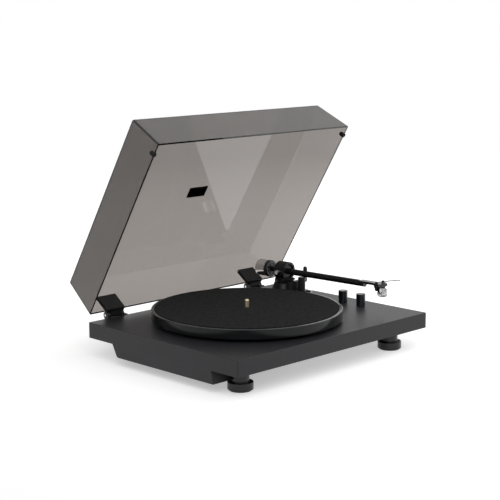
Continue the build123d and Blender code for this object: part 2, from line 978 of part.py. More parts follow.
# Connector panel at the rear: two signal sockets, a ground terminal and a power inlet
socket_places = [(-connector_pitch / 2 + i * socket_spacing, 0) for i in (-1, 0)]
terminal_place = (connector_pitch / 2, 0)
inlet_place = (connector_pitch / 2 + connector_pitch, 0)
with BuildPart() as rear_panel:
    slab(
        panel_front,
        (-panel_width / 2 + slip_clearance, -panel_height / 2 + slip_clearance),
        (panel_width / 2 - slip_clearance, panel_height / 2 - slip_clearance),
        -panel_thickness,
    )
    rod(
        panel_front,
        socket_tail_radius + slip_clearance,
        -panel_thickness,
        socket_places,
        Mode.SUBTRACT,
    )
    rod(
        panel_front,
        terminal_stud_radius + slip_clearance,
        -panel_thickness,
        [terminal_place],
        Mode.SUBTRACT,
    )
    rod(
        panel_front,
        inlet_face_radius + slip_clearance,
        -panel_thickness,
        [inlet_place],
        Mode.SUBTRACT,
    )
save(rear_panel, "rear_panel")

with BuildPart() as signal_sockets:
    rod(panel_front, socket_flange_radius, socket_flange_height, socket_places)
    rod(panel_front, socket_radius, socket_length, socket_places)
    rod(panel_front, socket_tail_radius, -socket_tail_length, socket_places)
    rod(
        panel_front.offset(socket_length),
        socket_bore_radius,
        -socket_bore_depth,
        socket_places,
        Mode.SUBTRACT,
    )
save(signal_sockets, "signal_sockets")

with BuildPart() as ground_terminal:
    rod(panel_front, terminal_radius, terminal_length, [terminal_place])
    rod(panel_front, terminal_stud_radius, -terminal_stud_length, [terminal_place])
    rod(panel_front, terminal_stud_radius, terminal_length + socket_flange_height, [terminal_place])
save(ground_terminal, "ground_terminal")

with BuildPart() as power_inlet:
    slab(
        panel_front.offset(-panel_thickness),
        (inlet_place[0] - inlet_width / 2, inlet_place[1] - inlet_height / 2),
        (inlet_place[0] + inlet_width / 2, inlet_place[1] + inlet_height / 2),
        -inlet_length,
    )
    rod(panel_front, inlet_face_radius, -panel_thickness, [inlet_place])
    rod(panel_front, inlet_bore_radius, -inlet_bore_depth, [inlet_place], Mode.SUBTRACT)
    rod(
        panel_front.offset(-panel_recess),
        inlet_pin_radius,
        panel_recess - inlet_bore_depth,
        [inlet_place],
    )
save(power_inlet, "power_inlet")

# Lid: a drafted shell open at its rim
with BuildPart() as dust_cover:
    with BuildSketch(lid_frame):
        with Locations((0, -lid_depth / 2)):
            Rectangle(lid_width, lid_depth)
    extrude(amount=lid_height, taper=lid_draft)
    lid_top_edges = dust_cover.faces().sort_by(lid_up)[-1].edges()
    lid_rim_edges = dust_cover.faces().sort_by(lid_up)[0].edges()
    fillet(dust_cover.edges() - lid_top_edges - lid_rim_edges, lid_corner_radius)
    fillet(dust_cover.faces().sort_by(lid_up)[-1].edges(), lid_top_radius)
    with BuildSketch(lid_frame):
        with Locations((0, -lid_depth / 2)):
            Rectangle(lid_width - 2 * lid_wall, lid_depth - 2 * lid_wall)
    extrude(amount=lid_height - lid_wall, taper=lid_draft, mode=Mode.SUBTRACT)
save(dust_cover, "dust_cover")

with BuildPart() as lid_badge:
    with BuildSketch(lid_frame.offset(lid_height)):
        with Locations((0, -lid_depth / 2)):
            RectangleRounded(badge_width, badge_depth, badge_corner_radius)
    extrude(amount=badge_thickness)
save(lid_badge, "lid_badge")

with BuildPart() as lid_bumpers:
    rod(
        lid_frame.offset(-bumper_reach),
        bumper_radius,
        bumper_reach + bumper_grip,
        [
            (side * (lid_width - lid_wall) / 2, -lid_depth + bumper_from_front)
            for side in (-1, 1)
        ],
    )
    fillet(lid_bumpers.edges().filter_by(GeomType.CIRCLE), bumper_rounding)
    add(dust_cover.part, mode=Mode.SUBTRACT)
save(lid_bumpers, "lid_bumpers")

# Two hinges: a clip round the lid's rear wall and a base on the plinth's rear face
clip_lean = clip_height * tan(radians(lid_draft))
for side, hinge_x in zip(("left", "right"), hinge_places):
    with BuildPart() as hinge_clip:
        plate(
            lid_section(hinge_x - clip_left),
            [
                (clip_plate, -clip_bridge),
                (clip_plate - clip_lean, clip_height),
                (-lid_wall - clip_plate - clip_lean, clip_height),
                (-lid_wall - clip_plate, -clip_bridge),
            ],
            clip_left + clip_right,
        )
        add(dust_cover.part, mode=Mode.SUBTRACT)
        with BuildSketch(lid_section(hinge_x - knuckle_left)):
            with Locations((-rim_y, -rim_z)):
                Circle(knuckle_radius)
            with Locations((clip_plate / 2, (clip_web_height - clip_bridge) / 2)):
                Rectangle(clip_plate / 2, clip_web_height + clip_bridge)
            make_hull()
        extrude(amount=knuckle_left + knuckle_right)
        add(dust_cover.part, mode=Mode.SUBTRACT)
        rod(
            lid_section(hinge_x - knuckle_left),
            hinge_pin_radius + running_clearance,
            knuckle_left + knuckle_right,
            [(-rim_y, -rim_z)],
            Mode.SUBTRACT,
        )
    save(hinge_clip, f"hinge_clip_{side}")
    with BuildPart() as hinge_base:
        slab(
            Plane.YZ.offset(hinge_x - hinge_plate_left),
            (plinth_rear, plinth_top - hinge_plate_drop),
            (plinth_rear + hinge_plate_thickness, plinth_top),
            hinge_plate_left + hinge_plate_right + hinge_lug_width,
        )
        slab(
            Plane.YZ.offset(hinge_x - knuckle_left - moving_gap),
            (plinth_rear, hinge_z - knuckle_radius - moving_gap),
            (plinth_rear + hinge_plate_thickness, plinth_top),
            knuckle_left + knuckle_right + 2 * moving_gap,
            Mode.SUBTRACT,
        )
        for ear_left in (hinge_x - hinge_plate_left, hinge_x + knuckle_right + moving_gap):
            with BuildSketch(Plane.YZ.offset(ear_left)) as ear:
                with Locations((hinge_y, hinge_z)):
                    Circle(knuckle_radius)
                with Locations(
                    (
                        plinth_rear + hinge_plate_thickness / 2,
                        plinth_top - (hinge_ear_drop + hinge_rise) / 2,
                    )
                ):
                    Rectangle(hinge_plate_thickness, hinge_ear_drop - hinge_rise)
                make_hull()
            extrude(amount=hinge_ear_width)
        slab(
            Plane.YZ.offset(hinge_x + hinge_plate_right),
            (plinth_rear, plinth_top - hinge_lug_drop),
            (plinth_rear + hinge_lug_depth, plinth_top + hinge_lug_rise),
            hinge_lug_width,
        )
        rod(
            Plane.YZ.offset(hinge_x - hinge_plate_left),
            hinge_pin_radius + seat_clearance,
            hinge_plate_left + hinge_plate_right + hinge_pin_reach,
            [(hinge_y, hinge_z)],
            Mode.SUBTRACT,
        )
        rod(
            rear_face,
            hinge_screw_radius + seat_clearance,
            hinge_plate_thickness,
            hinge_screw_places,
            Mode.SUBTRACT,
        )
        rod(
            level(plinth_top + hinge_lug_rise),
            hinge_screw_radius + seat_clearance,
            -lug_screw_length,
            [(hinge_x + hinge_plate_right + hinge_lug_width / 2, plinth_rear + hinge_lug_depth / 2)],
            Mode.SUBTRACT,
        )
    save(hinge_base, f"hinge_base_{side}")

with BuildPart() as hinge_pins:
    for hinge_x in hinge_places:
        rod(
            Plane.YZ.offset(hinge_x - hinge_plate_left - hinge_pin_reach),
            hinge_pin_radius,
            hinge_plate_left + hinge_plate_right + hinge_pin_reach,
            [(hinge_y, hinge_z)],
        )
save(hinge_pins, "hinge_pins")

with BuildPart() as hinge_screws:
    rod(
        rear_face.offset(hinge_plate_thickness),
        hinge_screw_head_radius,
        hinge_screw_head_height,
        hinge_screw_places,
    )
    rod(
        rear_face.offset(-hinge_screw_bite),
        hinge_screw_radius,
        hinge_screw_bite + hinge_plate_thickness,
        hinge_screw_places,
    )
    recess(
        rear_face.offset(hinge_plate_thickness + hinge_screw_head_height),
        hinge_screw_head_radius,
        1,
        hinge_screw_places,
    )
    for hinge_x in hinge_places:
        lug_place = (
            hinge_x + hinge_plate_right + hinge_lug_width / 2,
            plinth_rear + hinge_lug_depth / 2,
        )
        rod(
            level(plinth_top + hinge_lug_rise),
            lug_screw_head_radius,
            lug_screw_head_height,
            [lug_place],
        )
        rod(
            level(plinth_top + hinge_lug_rise),
            hinge_screw_radius,
            slip_clearance - lug_screw_length,
            [lug_place],
        )
        recess(
            level(plinth_top + hinge_lug_rise + lug_screw_head_height),
            lug_screw_head_radius,
            1,
            [lug_place],
        )
save(hinge_screws, "hinge_screws")

# Knobs, each on a shaft into its rotary switch under the plinth's top skin
for knob_name, knob_y in (("speed_knob", speed_knob_y), ("power_knob", power_knob_y)):
    with BuildPart() as knob:
        turned(
            upright(knob_x, knob_y),
            [
                (0, knob_bottom - knob_shaft_length),
                (knob_shaft_radius, knob_bottom - knob_shaft_length),
                (knob_shaft_radius, knob_bottom),
                (knob_skirt_radius, knob_bottom),
                (knob_skirt_radius, knob_bottom + knob_skirt_height),
                (knob_skirt_radius - knob_groove, knob_bottom + knob_skirt_height),
                (knob_skirt_radius - knob_groove, knob_bottom + knob_skirt_height + knob_groove),
                (knob_radius, knob_bottom + knob_skirt_height + knob_groove),
                (knob_radius, knob_bottom + knob_height),
                (0, knob_bottom + knob_height),
            ],
        )
        fillet(knob.faces().sort_by(Axis.Z)[-1].edges(), knob_edge_radius)
        slab(
            level(knob_bottom + knob_height),
            (knob_x - knob_pointer_width / 2, knob_y - knob_radius),
            (knob_x + knob_pointer_width / 2, knob_y - knob_radius + knob_pointer_length),
            -knob_pointer_depth,
            Mode.SUBTRACT,
        )
    save(knob, knob_name)

with BuildPart() as knob_switches:
    with BuildSketch(level(plinth_top - switch_skin)):
        with Locations(*knob_places):
            Rectangle(switch_width, switch_width)
    extrude(amount=-switch_height)
    rod(level(plinth_top - switch_skin), switch_bush_radius, switch_skin, knob_places)
    rod(
        level(plinth_top),
        knob_shaft_radius + running_clearance,
        -knob_shaft_length,
        knob_places,
        Mode.SUBTRACT,
    )
save(knob_switches, "knob_switches")

# Tonearm base, the fixed part of its upright bearing
at_arm = upright(arm_x, arm_y)
with BuildPart() as arm_base:
    turned(
        at_arm,
        [
            (yoke_shaft_radius + running_clearance, plinth_bottom - arm_stem_below),
            (arm_stem_radius, plinth_bottom - arm_stem_below),
            (arm_stem_radius, plinth_top),
            (arm_base_radius, plinth_top),
            (arm_base_radius, plinth_top + arm_base_side),
            (arm_base_top_radius, plinth_top + arm_base_height),
            (yoke_shaft_radius + running_clearance, plinth_top + arm_base_height),
        ],
    )
save(arm_base, "arm_base")

with BuildPart() as arm_nut:
    with BuildSketch(level(plinth_bottom)):
        with Locations((arm_x, arm_y)):
            RegularPolygon(arm_nut_radius, 6)
            Circle(arm_stem_radius + seat_clearance, mode=Mode.SUBTRACT)
    extrude(amount=-arm_nut_height)
save(arm_nut, "arm_nut")

with BuildPart() as yoke_shaft:
    rod(
        level(plinth_top - yoke_shaft_below),
        yoke_shaft_radius,
        turret_bottom + yoke_shaft_seat - plinth_top + yoke_shaft_below,
        [(arm_x, arm_y)],
    )
save(yoke_shaft, "yoke_shaft")

# Gimbal: a round ring on a turret that swings, with two pivots for the rise and fall
with BuildPart() as gimbal_ring:
    rod(level(turret_bottom), turret_radius, turret_height, [(arm_x, arm_y)])
    rod(arm_station(-ring_length / 2), ring_radius, ring_length)
    rod(arm_station(-turret_radius), ring_bore_radius, 2 * turret_radius, mode=Mode.SUBTRACT)
    rod(
        arm_side(ring_radius),
        pivot_sleeve_radius + seat_clearance,
        2 * ring_radius,
        mode=Mode.SUBTRACT,
    )
    rod(
        level(turret_bottom),
        yoke_shaft_radius + seat_clearance,
        yoke_shaft_seat,
        [(arm_x, arm_y)],
        Mode.SUBTRACT,
    )
save(gimbal_ring, "gimbal_ring")

with BuildPart() as gimbal_pivots:
    for side in (-1, 1):
        pivot_lathe = Plane(
            origin=arm_frame.origin, x_dir=(0, 0, 1), z_dir=side * arm_frame.y_dir
        )
        turned(
            pivot_lathe,
            [
                (0, block_radius - pivot_pin_reach),
                (pivot_pin_radius, block_radius - pivot_pin_reach),
                (pivot_pin_radius, ring_bore_radius),
                (pivot_sleeve_radius, ring_bore_radius),
                (pivot_sleeve_radius, ring_radius + slip_clearance),
                (pivot_cap_radius, ring_radius + slip_clearance),
                (pivot_cap_radius, ring_radius + pivot_cap_height),
                (pivot_slot_radius, ring_radius + pivot_cap_height),
                (pivot_slot_radius, ring_radius + pivot_cap_height - pivot_slot_depth),
                (0, ring_radius + pivot_cap_height - pivot_slot_depth),
            ],
        )
save(gimbal_pivots, "gimbal_pivots")

# Moving arm: the block between the pivots with its rear stub, and the tube ahead of it
with BuildPart() as arm_block:
    turned(
        arm_lathe,
        [
            (0, -stub_end),
            (stub_radius, -stub_end),
            (stub_radius, -block_length / 2),
            (block_radius, -block_length / 2),
            (block_radius, block_length / 2),
            (tube_radius + seat_clearance, block_length / 2),
            (tube_radius + seat_clearance, block_length / 2 - tube_seat_depth),
            (0, block_length / 2 - tube_seat_depth),
        ],
    )
    for side in (-1, 1):
        rod(
            arm_side(side * block_radius),
            pivot_pin_radius + running_clearance,
            side * (pivot_pin_reach + slip_clearance),
            mode=Mode.SUBTRACT,
        )
save(arm_block, "arm_block")

tube_start = block_length / 2 - tube_seat_depth
with BuildPart() as arm_tube:
    rod(arm_station(tube_start), tube_radius, tube_end - tube_start)
    rod(arm_station(tube_start), tube_radius - tube_wall, tube_end - tube_start, mode=Mode.SUBTRACT)
    slab(
        arm_side(tube_radius),
        (tube_end - headshell_tongue_overlap, headshell_bottom - seat_clearance),
        (tube_end, tube_radius),
        2 * tube_radius,
        Mode.SUBTRACT,
    )
save(arm_tube, "arm_tube")

boss_front = dial_width - dial_face - slip_clearance - counterweight_front
with BuildPart() as counterweight:
    turned(
        arm_lathe,
        [
            (stub_radius + running_clearance, -counterweight_front - counterweight_length),
            (
                counterweight_radius - counterweight_edge,
                -counterweight_front - counterweight_length,
            ),
            (
                counterweight_radius,
                counterweight_edge - counterweight_front - counterweight_length,
            ),
            (counterweight_radius, -counterweight_front),
            (counterweight_boss_radius, -counterweight_front),
            (counterweight_boss_radius, boss_front),
            (stub_radius + running_clearance, boss_front),
        ],
    )
save(counterweight, "counterweight")

with BuildPart() as force_dial:
    turned(
        arm_lathe,
        [
            (counterweight_boss_radius + running_clearance, slip_clearance - counterweight_front),
            (dial_radius, slip_clearance - counterweight_front),
            (dial_radius, dial_width - dial_bevel - counterweight_front),
            (dial_radius - dial_bevel, dial_width - counterweight_front),
            (stub_radius + moving_gap, dial_width - counterweight_front),
            (stub_radius + moving_gap, boss_front + slip_clearance),
            (counterweight_boss_radius + running_clearance, boss_front + slip_clearance),
        ],
    )
save(force_dial, "force_dial")

# Headshell: a flat tongue let into the tube's top, with a turned pad for the cartridge
screw_places = [(side * cartridge_screw_spacing / 2, 0) for side in (-1, 1)]
with BuildPart() as headshell:
    slab(
        arm_level(headshell_bottom),
        (-headshell_tongue_width / 2, headshell_tongue_overlap - tube_end),
        (headshell_tongue_width / 2, -cartridge_reach),
        headshell_thickness,
    )
    with BuildSketch(cartridge_frame):
        RectangleRounded(headshell_pad_width, headshell_pad_length, headshell_pad_radius)
    extrude(amount=headshell_thickness)
    with BuildSketch(arm_station(tube_end - headshell_spigot_length)):
        Circle(tube_radius - tube_wall - seat_clearance)
        with Locations((0, headshell_bottom + tube_radius)):
            Rectangle(2 * tube_radius, 2 * tube_radius, mode=Mode.SUBTRACT)
    extrude(amount=headshell_spigot_length)
    with BuildSketch(arm_station(tube_end + seat_clearance)):
        Circle(tube_radius)
        with Locations((0, headshell_bottom + tube_radius)):
            Rectangle(2 * tube_radius, 2 * tube_radius, mode=Mode.SUBTRACT)
    extrude(amount=headshell_cap_length)
    rod(arm_station(tube_end), tube_radius - 2 * tube_wall, headshell_cap_length / 2)
    rod(
        cartridge_frame,
        cartridge_screw_radius + slip_clearance,
        headshell_thickness + tube_radius,
        screw_places,
        Mode.SUBTRACT,
    )
save(headshell, "headshell")

# Finger lift: an eyelet under the right screw's head with a thin rod to the side
finger_turn = radians(arm_rest_angle + finger_direction)
finger_way = Vector(cos(finger_turn), sin(finger_turn), 0)
finger_plane = Plane(
    origin=cartridge_frame.from_local_coords(
        (cartridge_screw_spacing / 2, 0, headshell_thickness + finger_radius + slip_clearance)
    ),
    x_dir=finger_way,
    z_dir=finger_way.cross(Vector(0, 0, 1)),
)
finger_start = finger_plane.from_local_coords((finger_eyelet_radius - finger_radius, 0, 0))
with BuildPart() as finger_lift:
    with BuildLine(finger_plane) as finger_path:
        FilletPolyline(
            (finger_eyelet_radius - finger_radius, 0),
            (finger_rise_start, 0),
            (finger_rise_end, finger_rise),
            (finger_length - finger_tip_length, finger_rise),
            (finger_length, finger_rise - finger_tip_drop),
            radius=finger_bend_radius,
        )
    with BuildSketch(Plane(origin=finger_start, z_dir=finger_way)):
        Circle(finger_radius)
    sweep(path=finger_path.line)
    rod(
        cartridge_frame.offset(headshell_thickness),
        finger_eyelet_radius,
        finger_eyelet_thickness,
        screw_places[-1:],
    )
    rod(
        cartridge_frame.offset(headshell_thickness),
        cartridge_screw_radius + slip_clearance,
        finger_eyelet_thickness,
        screw_places[-1:],
        Mode.SUBTRACT,
    )
save(finger_lift, "finger_lift")

with BuildPart() as cartridge_screws:
    for screw_place, washer in zip(screw_places, (0, finger_eyelet_thickness)):
        rod(
            cartridge_frame.offset(headshell_thickness + washer),
            cartridge_screw_head_radius,
            cartridge_screw_head_height,
            [screw_place],
        )
        rod(
            cartridge_frame.offset(-cartridge_screw_below),
            cartridge_screw_radius,
            cartridge_screw_below + headshell_thickness + washer,
            [screw_place],
        )
        recess(
            cartridge_frame.offset(headshell_thickness + washer + cartridge_screw_head_height),
            cartridge_screw_head_radius,
            1,
            [screw_place],
        )
    rod(
        cartridge_frame.offset(-cartridge_flange_height),
        cartridge_nut_radius,
        -cartridge_nut_height,
        screw_places,
    )
save(cartridge_screws, "cartridge_screws")

# Cartridge under the pad, with its stylus and a slip-on guard
with BuildPart() as cartridge:
    slab(
        cartridge_frame,
        (-cartridge_flange_width / 2, -cartridge_flange_depth / 2),
        (cartridge_flange_width / 2, cartridge_flange_depth / 2),
        -cartridge_flange_height,
    )
    slab(
        cartridge_frame,
        (-cartridge_body_width / 2, cartridge_body_rear),
        (cartridge_body_width / 2, -cartridge_body_front),
        -cartridge_body_height,
    )
    slab(
        cartridge_frame,
        (-cartridge_nose_width / 2, -cartridge_body_front),
        (cartridge_nose_width / 2, cartridge_nose_length - cartridge_body_front),
        -cartridge_body_height,
    )
    rod(
        cartridge_frame,
        cartridge_screw_radius + slip_clearance,
        -cartridge_flange_height,
        screw_places,
        Mode.SUBTRACT,
    )
    rod(
        Plane(
            origin=cartridge_frame.from_local_coords(
                (0, cartridge_body_rear, -cartridge_body_height / 2)
            ),
            x_dir=cartridge_frame.x_dir,
            z_dir=cartridge_frame.y_dir,
        ),
        cartridge_pin_radius,
        cartridge_pin_length,
        [(i * cartridge_pin_spacing / 2, j * cartridge_pin_spacing / 2) for i in (-1, 1) for j in (-1, 1)],
    )
save(cartridge, "cartridge")


def cartridge_side_plane(x):
    """Plane along the cartridge, with x forward and y up, facing its left."""
    origin = cartridge_frame.from_local_coords((x, 0, 0))
    return Plane(origin=origin, x_dir=-cartridge_frame.y_dir, z_dir=-cartridge_frame.x_dir)


with BuildPart() as stylus:
    plate(
        cartridge_side_plane(stylus_holder_width / 2),
        [
            (cartridge_body_front - stylus_holder_length, -cartridge_body_height),
            (cartridge_body_front, -cartridge_body_height),
            (
                cartridge_body_front - stylus_holder_height / 2,
                -cartridge_body_height - stylus_holder_height,
            ),
            (
                cartridge_body_front - stylus_holder_length,
                -cartridge_body_height - stylus_holder_height,
            ),
        ],
        stylus_holder_width,
    )
    stylus_root = cartridge_frame.from_local_coords(
        (
            0,
            stylus_holder_height - cartridge_body_front,
            stylus_rod_radius - cartridge_body_height - stylus_holder_height,
        )
    )
    stylus_tip = cartridge_frame.from_local_coords((0, -stylus_reach, -stylus_drop))
    with BuildSketch(Plane(origin=stylus_root, z_dir=stylus_tip - stylus_root)):
        Circle(stylus_rod_radius)
    extrude(amount=(stylus_tip - stylus_root).length)
save(stylus, "stylus")

with BuildPart() as stylus_guard:
    plate(
        cartridge_side_plane(guard_width / 2),
        [
            (guard_rear, -guard_bottom),
            (guard_front, -guard_bottom),
            (guard_front, -guard_top),
            (cartridge_body_front + moving_gap, -guard_top),
            (cartridge_body_front + moving_gap, -cartridge_body_height - moving_gap),
            (guard_rear, -cartridge_body_height - moving_gap),
        ],
        guard_width,
    )
    chin_place = cartridge_frame.from_local_coords((0, -guard_front, -guard_bottom))
    fillet(stylus_guard.edges().sort_by_distance(chin_place)[0], guard_chin)
    fillet(stylus_guard.edges().filter_by(GeomType.CIRCLE), guard_rounding)
    plate(
        cartridge_side_plane(guard_width / 2 - guard_wall),
        [
            (guard_rear, guard_wall - guard_bottom),
            (guard_front - guard_chin, guard_wall - guard_bottom),
            (guard_front - guard_wall, guard_chin - guard_bottom),
            (guard_front - guard_wall, moving_gap - cartridge_body_height),
            (guard_rear, moving_gap - cartridge_body_height),
        ],
        guard_width - 2 * guard_wall,
        Mode.SUBTRACT,
    )
save(stylus_guard, "stylus_guard")

# Arm rest: a post with a shelf under the tube and a prong on its right
prong_x = tube_radius + rest_prong_gap + rest_prong_radius
with BuildPart() as arm_rest:
    rod(
        arm_level(-arm_height),
        rest_foot_radius,
        rest_foot_height,
        [(0, -rest_reach)],
    )
    rod(
        arm_level(-arm_height),
        rest_post_radius,
        arm_height + shelf_z,
        [(0, -rest_reach)],
    )
    with BuildSketch(arm_level(shelf_z - rest_shelf_height)):
        with Locations((0, -rest_reach)):
            Circle(rest_post_radius)
        with Locations((prong_x, -rest_reach)):
            Circle(rest_prong_radius)
        make_hull()
    extrude(amount=rest_shelf_height)
    rod(
        arm_level(shelf_z - rest_shelf_height),
        rest_prong_radius,
        rest_shelf_height - shelf_z + rest_prong_rise - rest_prong_radius,
        [(prong_x, -rest_reach)],
    )
    with Locations(
        arm_frame.from_local_coords((prong_x, -rest_reach, rest_prong_rise - rest_prong_radius))
    ):
        Sphere(rest_prong_radius)
    rod(arm_level(-arm_height), rest_spigot_radius, -rest_spigot_length, [(0, -rest_reach)])
save(arm_rest, "arm_rest")

# Cue lift: a housing, a lever on its right and a curved bar that rises under the tube
cue_rod_place = (
    -cue_radius * sin(radians(cue_rod_angle)),
    -cue_radius * cos(radians(cue_rod_angle)),
)
lever_y = cue_block_rear - cue_block_depth / 2
lever_z = cue_lever_height - arm_height
with BuildPart() as cue_housing:
    slab(
        arm_level(-arm_height),
        (-cue_block_left, cue_block_rear),
        (cue_block_right, cue_block_rear - cue_block_depth),
        cue_block_height,
    )
    fillet(cue_housing.edges().filter_by(Axis.Z), cue_block_rounding)
    rod(arm_level(-arm_height), cue_tower_radius, cue_tower_height, [cue_rod_place])
    rod(
        arm_level(cue_tower_height - arm_height),
        cue_rod_radius + running_clearance,
        -cue_rod_depth,
        [cue_rod_place],
        Mode.SUBTRACT,
    )
    rod(
        arm_side(cue_block_right),
        cue_lever_shaft_radius + running_clearance,
        cue_lever_shaft_length,
        [(-lever_y, lever_z)],
        Mode.SUBTRACT,
    )
save(cue_housing, "cue_housing")

with BuildPart() as cue_lever:
    rod(
        arm_side(cue_lever_side),
        cue_lever_shaft_radius,
        cue_lever_side - cue_block_right + cue_lever_shaft_length - slip_clearance,
        [(-lever_y, lever_z)],
    )
    rod(
        arm_side(cue_lever_side + cue_lever_width),
        cue_lever_boss_radius,
        cue_lever_width,
        [(-lever_y, lever_z)],
    )
    slab(
        arm_side(cue_lever_side + cue_lever_width),
        (-lever_y, lever_z - cue_lever_thickness / 2),
        (cue_lever_tip_reach - cue_paddle_length / 2, lever_z + cue_lever_thickness / 2),
        cue_lever_width,
    )
    slab(
        arm_side(cue_lever_side + cue_lever_width),
        (cue_lever_tip_reach - cue_paddle_length, lever_z - cue_paddle_thickness / 2),
        (cue_lever_tip_reach, lever_z + cue_paddle_thickness / 2),
        cue_lever_width,
    )
save(cue_lever, "cue_lever")

with BuildPart() as cue_lift:
    with BuildLine(mode=Mode.PRIVATE) as cue_arc:
        CenterArc((0, 0), cue_radius, arm_forward - cue_bar_end, cue_bar_end - cue_bar_start)
    with BuildSketch(arm_level(cue_bar_top - cue_bar_thickness)):
        SlotArc(cue_arc.edges()[0], cue_bar_width)
    extrude(amount=cue_bar_thickness)
    rod(
        arm_level(cue_bar_top - cue_bar_thickness),
        cue_rod_radius,
        cue_tower_height - cue_rod_depth + slip_clearance - arm_height - cue_bar_top + cue_bar_thickness,
        [cue_rod_place],
    )
save(cue_lift, "cue_lift")
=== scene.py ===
"""Looks of a belt-drive record player, dressed over its CAD frame."""

import json
import math

import bpy
import numpy as np
from bpy.props import FloatProperty, FloatVectorProperty, IntProperty, PointerProperty
from mathutils import Matrix, Vector


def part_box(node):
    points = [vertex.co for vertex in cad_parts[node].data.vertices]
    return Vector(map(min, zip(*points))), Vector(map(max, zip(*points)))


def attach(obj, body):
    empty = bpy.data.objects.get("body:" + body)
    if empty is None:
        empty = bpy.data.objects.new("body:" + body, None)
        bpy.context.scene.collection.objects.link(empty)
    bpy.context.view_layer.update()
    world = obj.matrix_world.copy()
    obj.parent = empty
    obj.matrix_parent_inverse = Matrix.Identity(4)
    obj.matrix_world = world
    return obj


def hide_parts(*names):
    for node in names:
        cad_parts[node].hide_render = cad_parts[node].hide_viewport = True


bl_info = {
    "name": "Record player looks",
    "version": (1, 0, 0),
    "blender": (4, 5, 0),
    "location": "3D View > Sidebar > Record player",
    "description": "Dresses the CAD frame of a record player with finishes, a felt mat and a stage",
    "category": "Object",
}

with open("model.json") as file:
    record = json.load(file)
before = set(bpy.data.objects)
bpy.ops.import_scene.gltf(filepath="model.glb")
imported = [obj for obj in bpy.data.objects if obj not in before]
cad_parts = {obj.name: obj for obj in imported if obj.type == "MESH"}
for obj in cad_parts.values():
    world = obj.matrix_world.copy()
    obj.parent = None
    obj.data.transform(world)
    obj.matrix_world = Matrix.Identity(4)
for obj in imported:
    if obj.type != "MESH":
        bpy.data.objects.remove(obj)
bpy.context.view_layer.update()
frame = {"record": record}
joints = {joint["name"]: joint for joint in frame["record"]["behaviour"]["joints"]}

MM = 0.001
UP = np.array([0.0, 0.0, 1.0])

# Places and directions in the rest pose, in which the lid is open
FELT_LOW, FELT_HIGH = (np.array(corner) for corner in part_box("felt_mat"))
PLATTER_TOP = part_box("platter")[1][2]
SPINDLE_AT = np.array(joints["platter_spin"]["pos_m"])
DIAL_AT = np.array(joints["force_dial_turn"]["pos_m"])
DIAL_AXIS = np.array(joints["force_dial_turn"]["axis"])
LID_OPEN = math.radians(58.74)
LID_UP = np.array([0.0, math.sin(LID_OPEN), math.cos(LID_OPEN)])

# Height of a figure as a share of its font's size
FIGURE_SHARE = 0.72


def colour(name, about, default):
    """A colour property in linear light."""
    return FloatVectorProperty(
        name=name, description=about, default=default, subtype="COLOR", size=3, min=0, max=1
    )


def length(name, about, default):
    """A length property in metres."""
    return FloatProperty(
        name=name, description=about, default=default, unit="LENGTH", subtype="DISTANCE", precision=5
    )


def place(name, about, default):
    """A point property in metres."""
    return FloatVectorProperty(
        name=name, description=about, default=default, unit="LENGTH", subtype="TRANSLATION", size=3,
        precision=6,
    )


def direction(name, about, default):
    """A direction property, of any length."""
    return FloatVectorProperty(
        name=name, description=about, default=default, subtype="DIRECTION", size=3
    )


def angle(name, about, degrees):
    """An angle property, whose default is given in degrees."""
    return FloatProperty(
        name=name, description=about, default=math.radians(degrees), subtype="ANGLE"
    )


def amount(name, about, default):
    """A plain number property."""
    return FloatProperty(name=name, description=about, default=default)


class FinishSettings(bpy.types.PropertyGroup):
    """Colours of the player's finishes."""

    plinth: colour("Plinth", "Satin lacquer of the plinth board", (0.0115, 0.0113, 0.0133))
    tray: colour("Tray", "Moulded tray under the plinth", (0.0185, 0.0183, 0.0205))
    platter: colour("Platter", "Black lacquer of the platter", (0.0008, 0.0012, 0.0017))
    rim: colour("Rim", "Turned edge round the platter's top", (0.06, 0.062, 0.065))
    felt: colour("Felt", "Felt of the mat", (0.0105, 0.0105, 0.0108))
    plastic: colour("Plastic", "Moulded black plastic", (0.0065, 0.0065, 0.007))
    gloss: colour("Gloss black", "Polished black pieces", (0.0045, 0.0058, 0.0072))
    rubber: colour("Rubber", "Pads, bumpers and belt", (0.006, 0.006, 0.006))
    arm: colour("Arm", "Black coat of the tonearm", (0.0045, 0.0046, 0.005))
    foot: colour("Feet", "Turned black feet", (0.008, 0.0081, 0.0086))
    steel: colour("Steel", "Bright steel", (0.56, 0.57, 0.58))
    chrome: colour("Chrome", "Polished chrome", (0.58, 0.57, 0.555))
    brass: colour("Brass", "Brass of the spindle", (0.76, 0.64, 0.45))
    headshell: colour("Headshell", "Dark anodised headshell", (0.012, 0.012, 0.0125))
    print: colour("Print", "Pale print on the force dial", (0.42, 0.46, 0.52))
    guard: colour("Stylus guard", "Milky clear plastic", (0.95, 0.95, 0.945))
    board: colour("Circuit board", "Solder mask of the board", (0.012, 0.085, 0.035))
    lid_passes: colour("Lid", "Light that the lid's plastic lets through", (0.36, 0.32, 0.29))
    lid_density: amount("Lid density", "How fast the lid's plastic takes up light, per metre", 570.0)
    lid_edge: colour("Lid edge", "Cut edge of the lid's rim", (0.012, 0.012, 0.012))


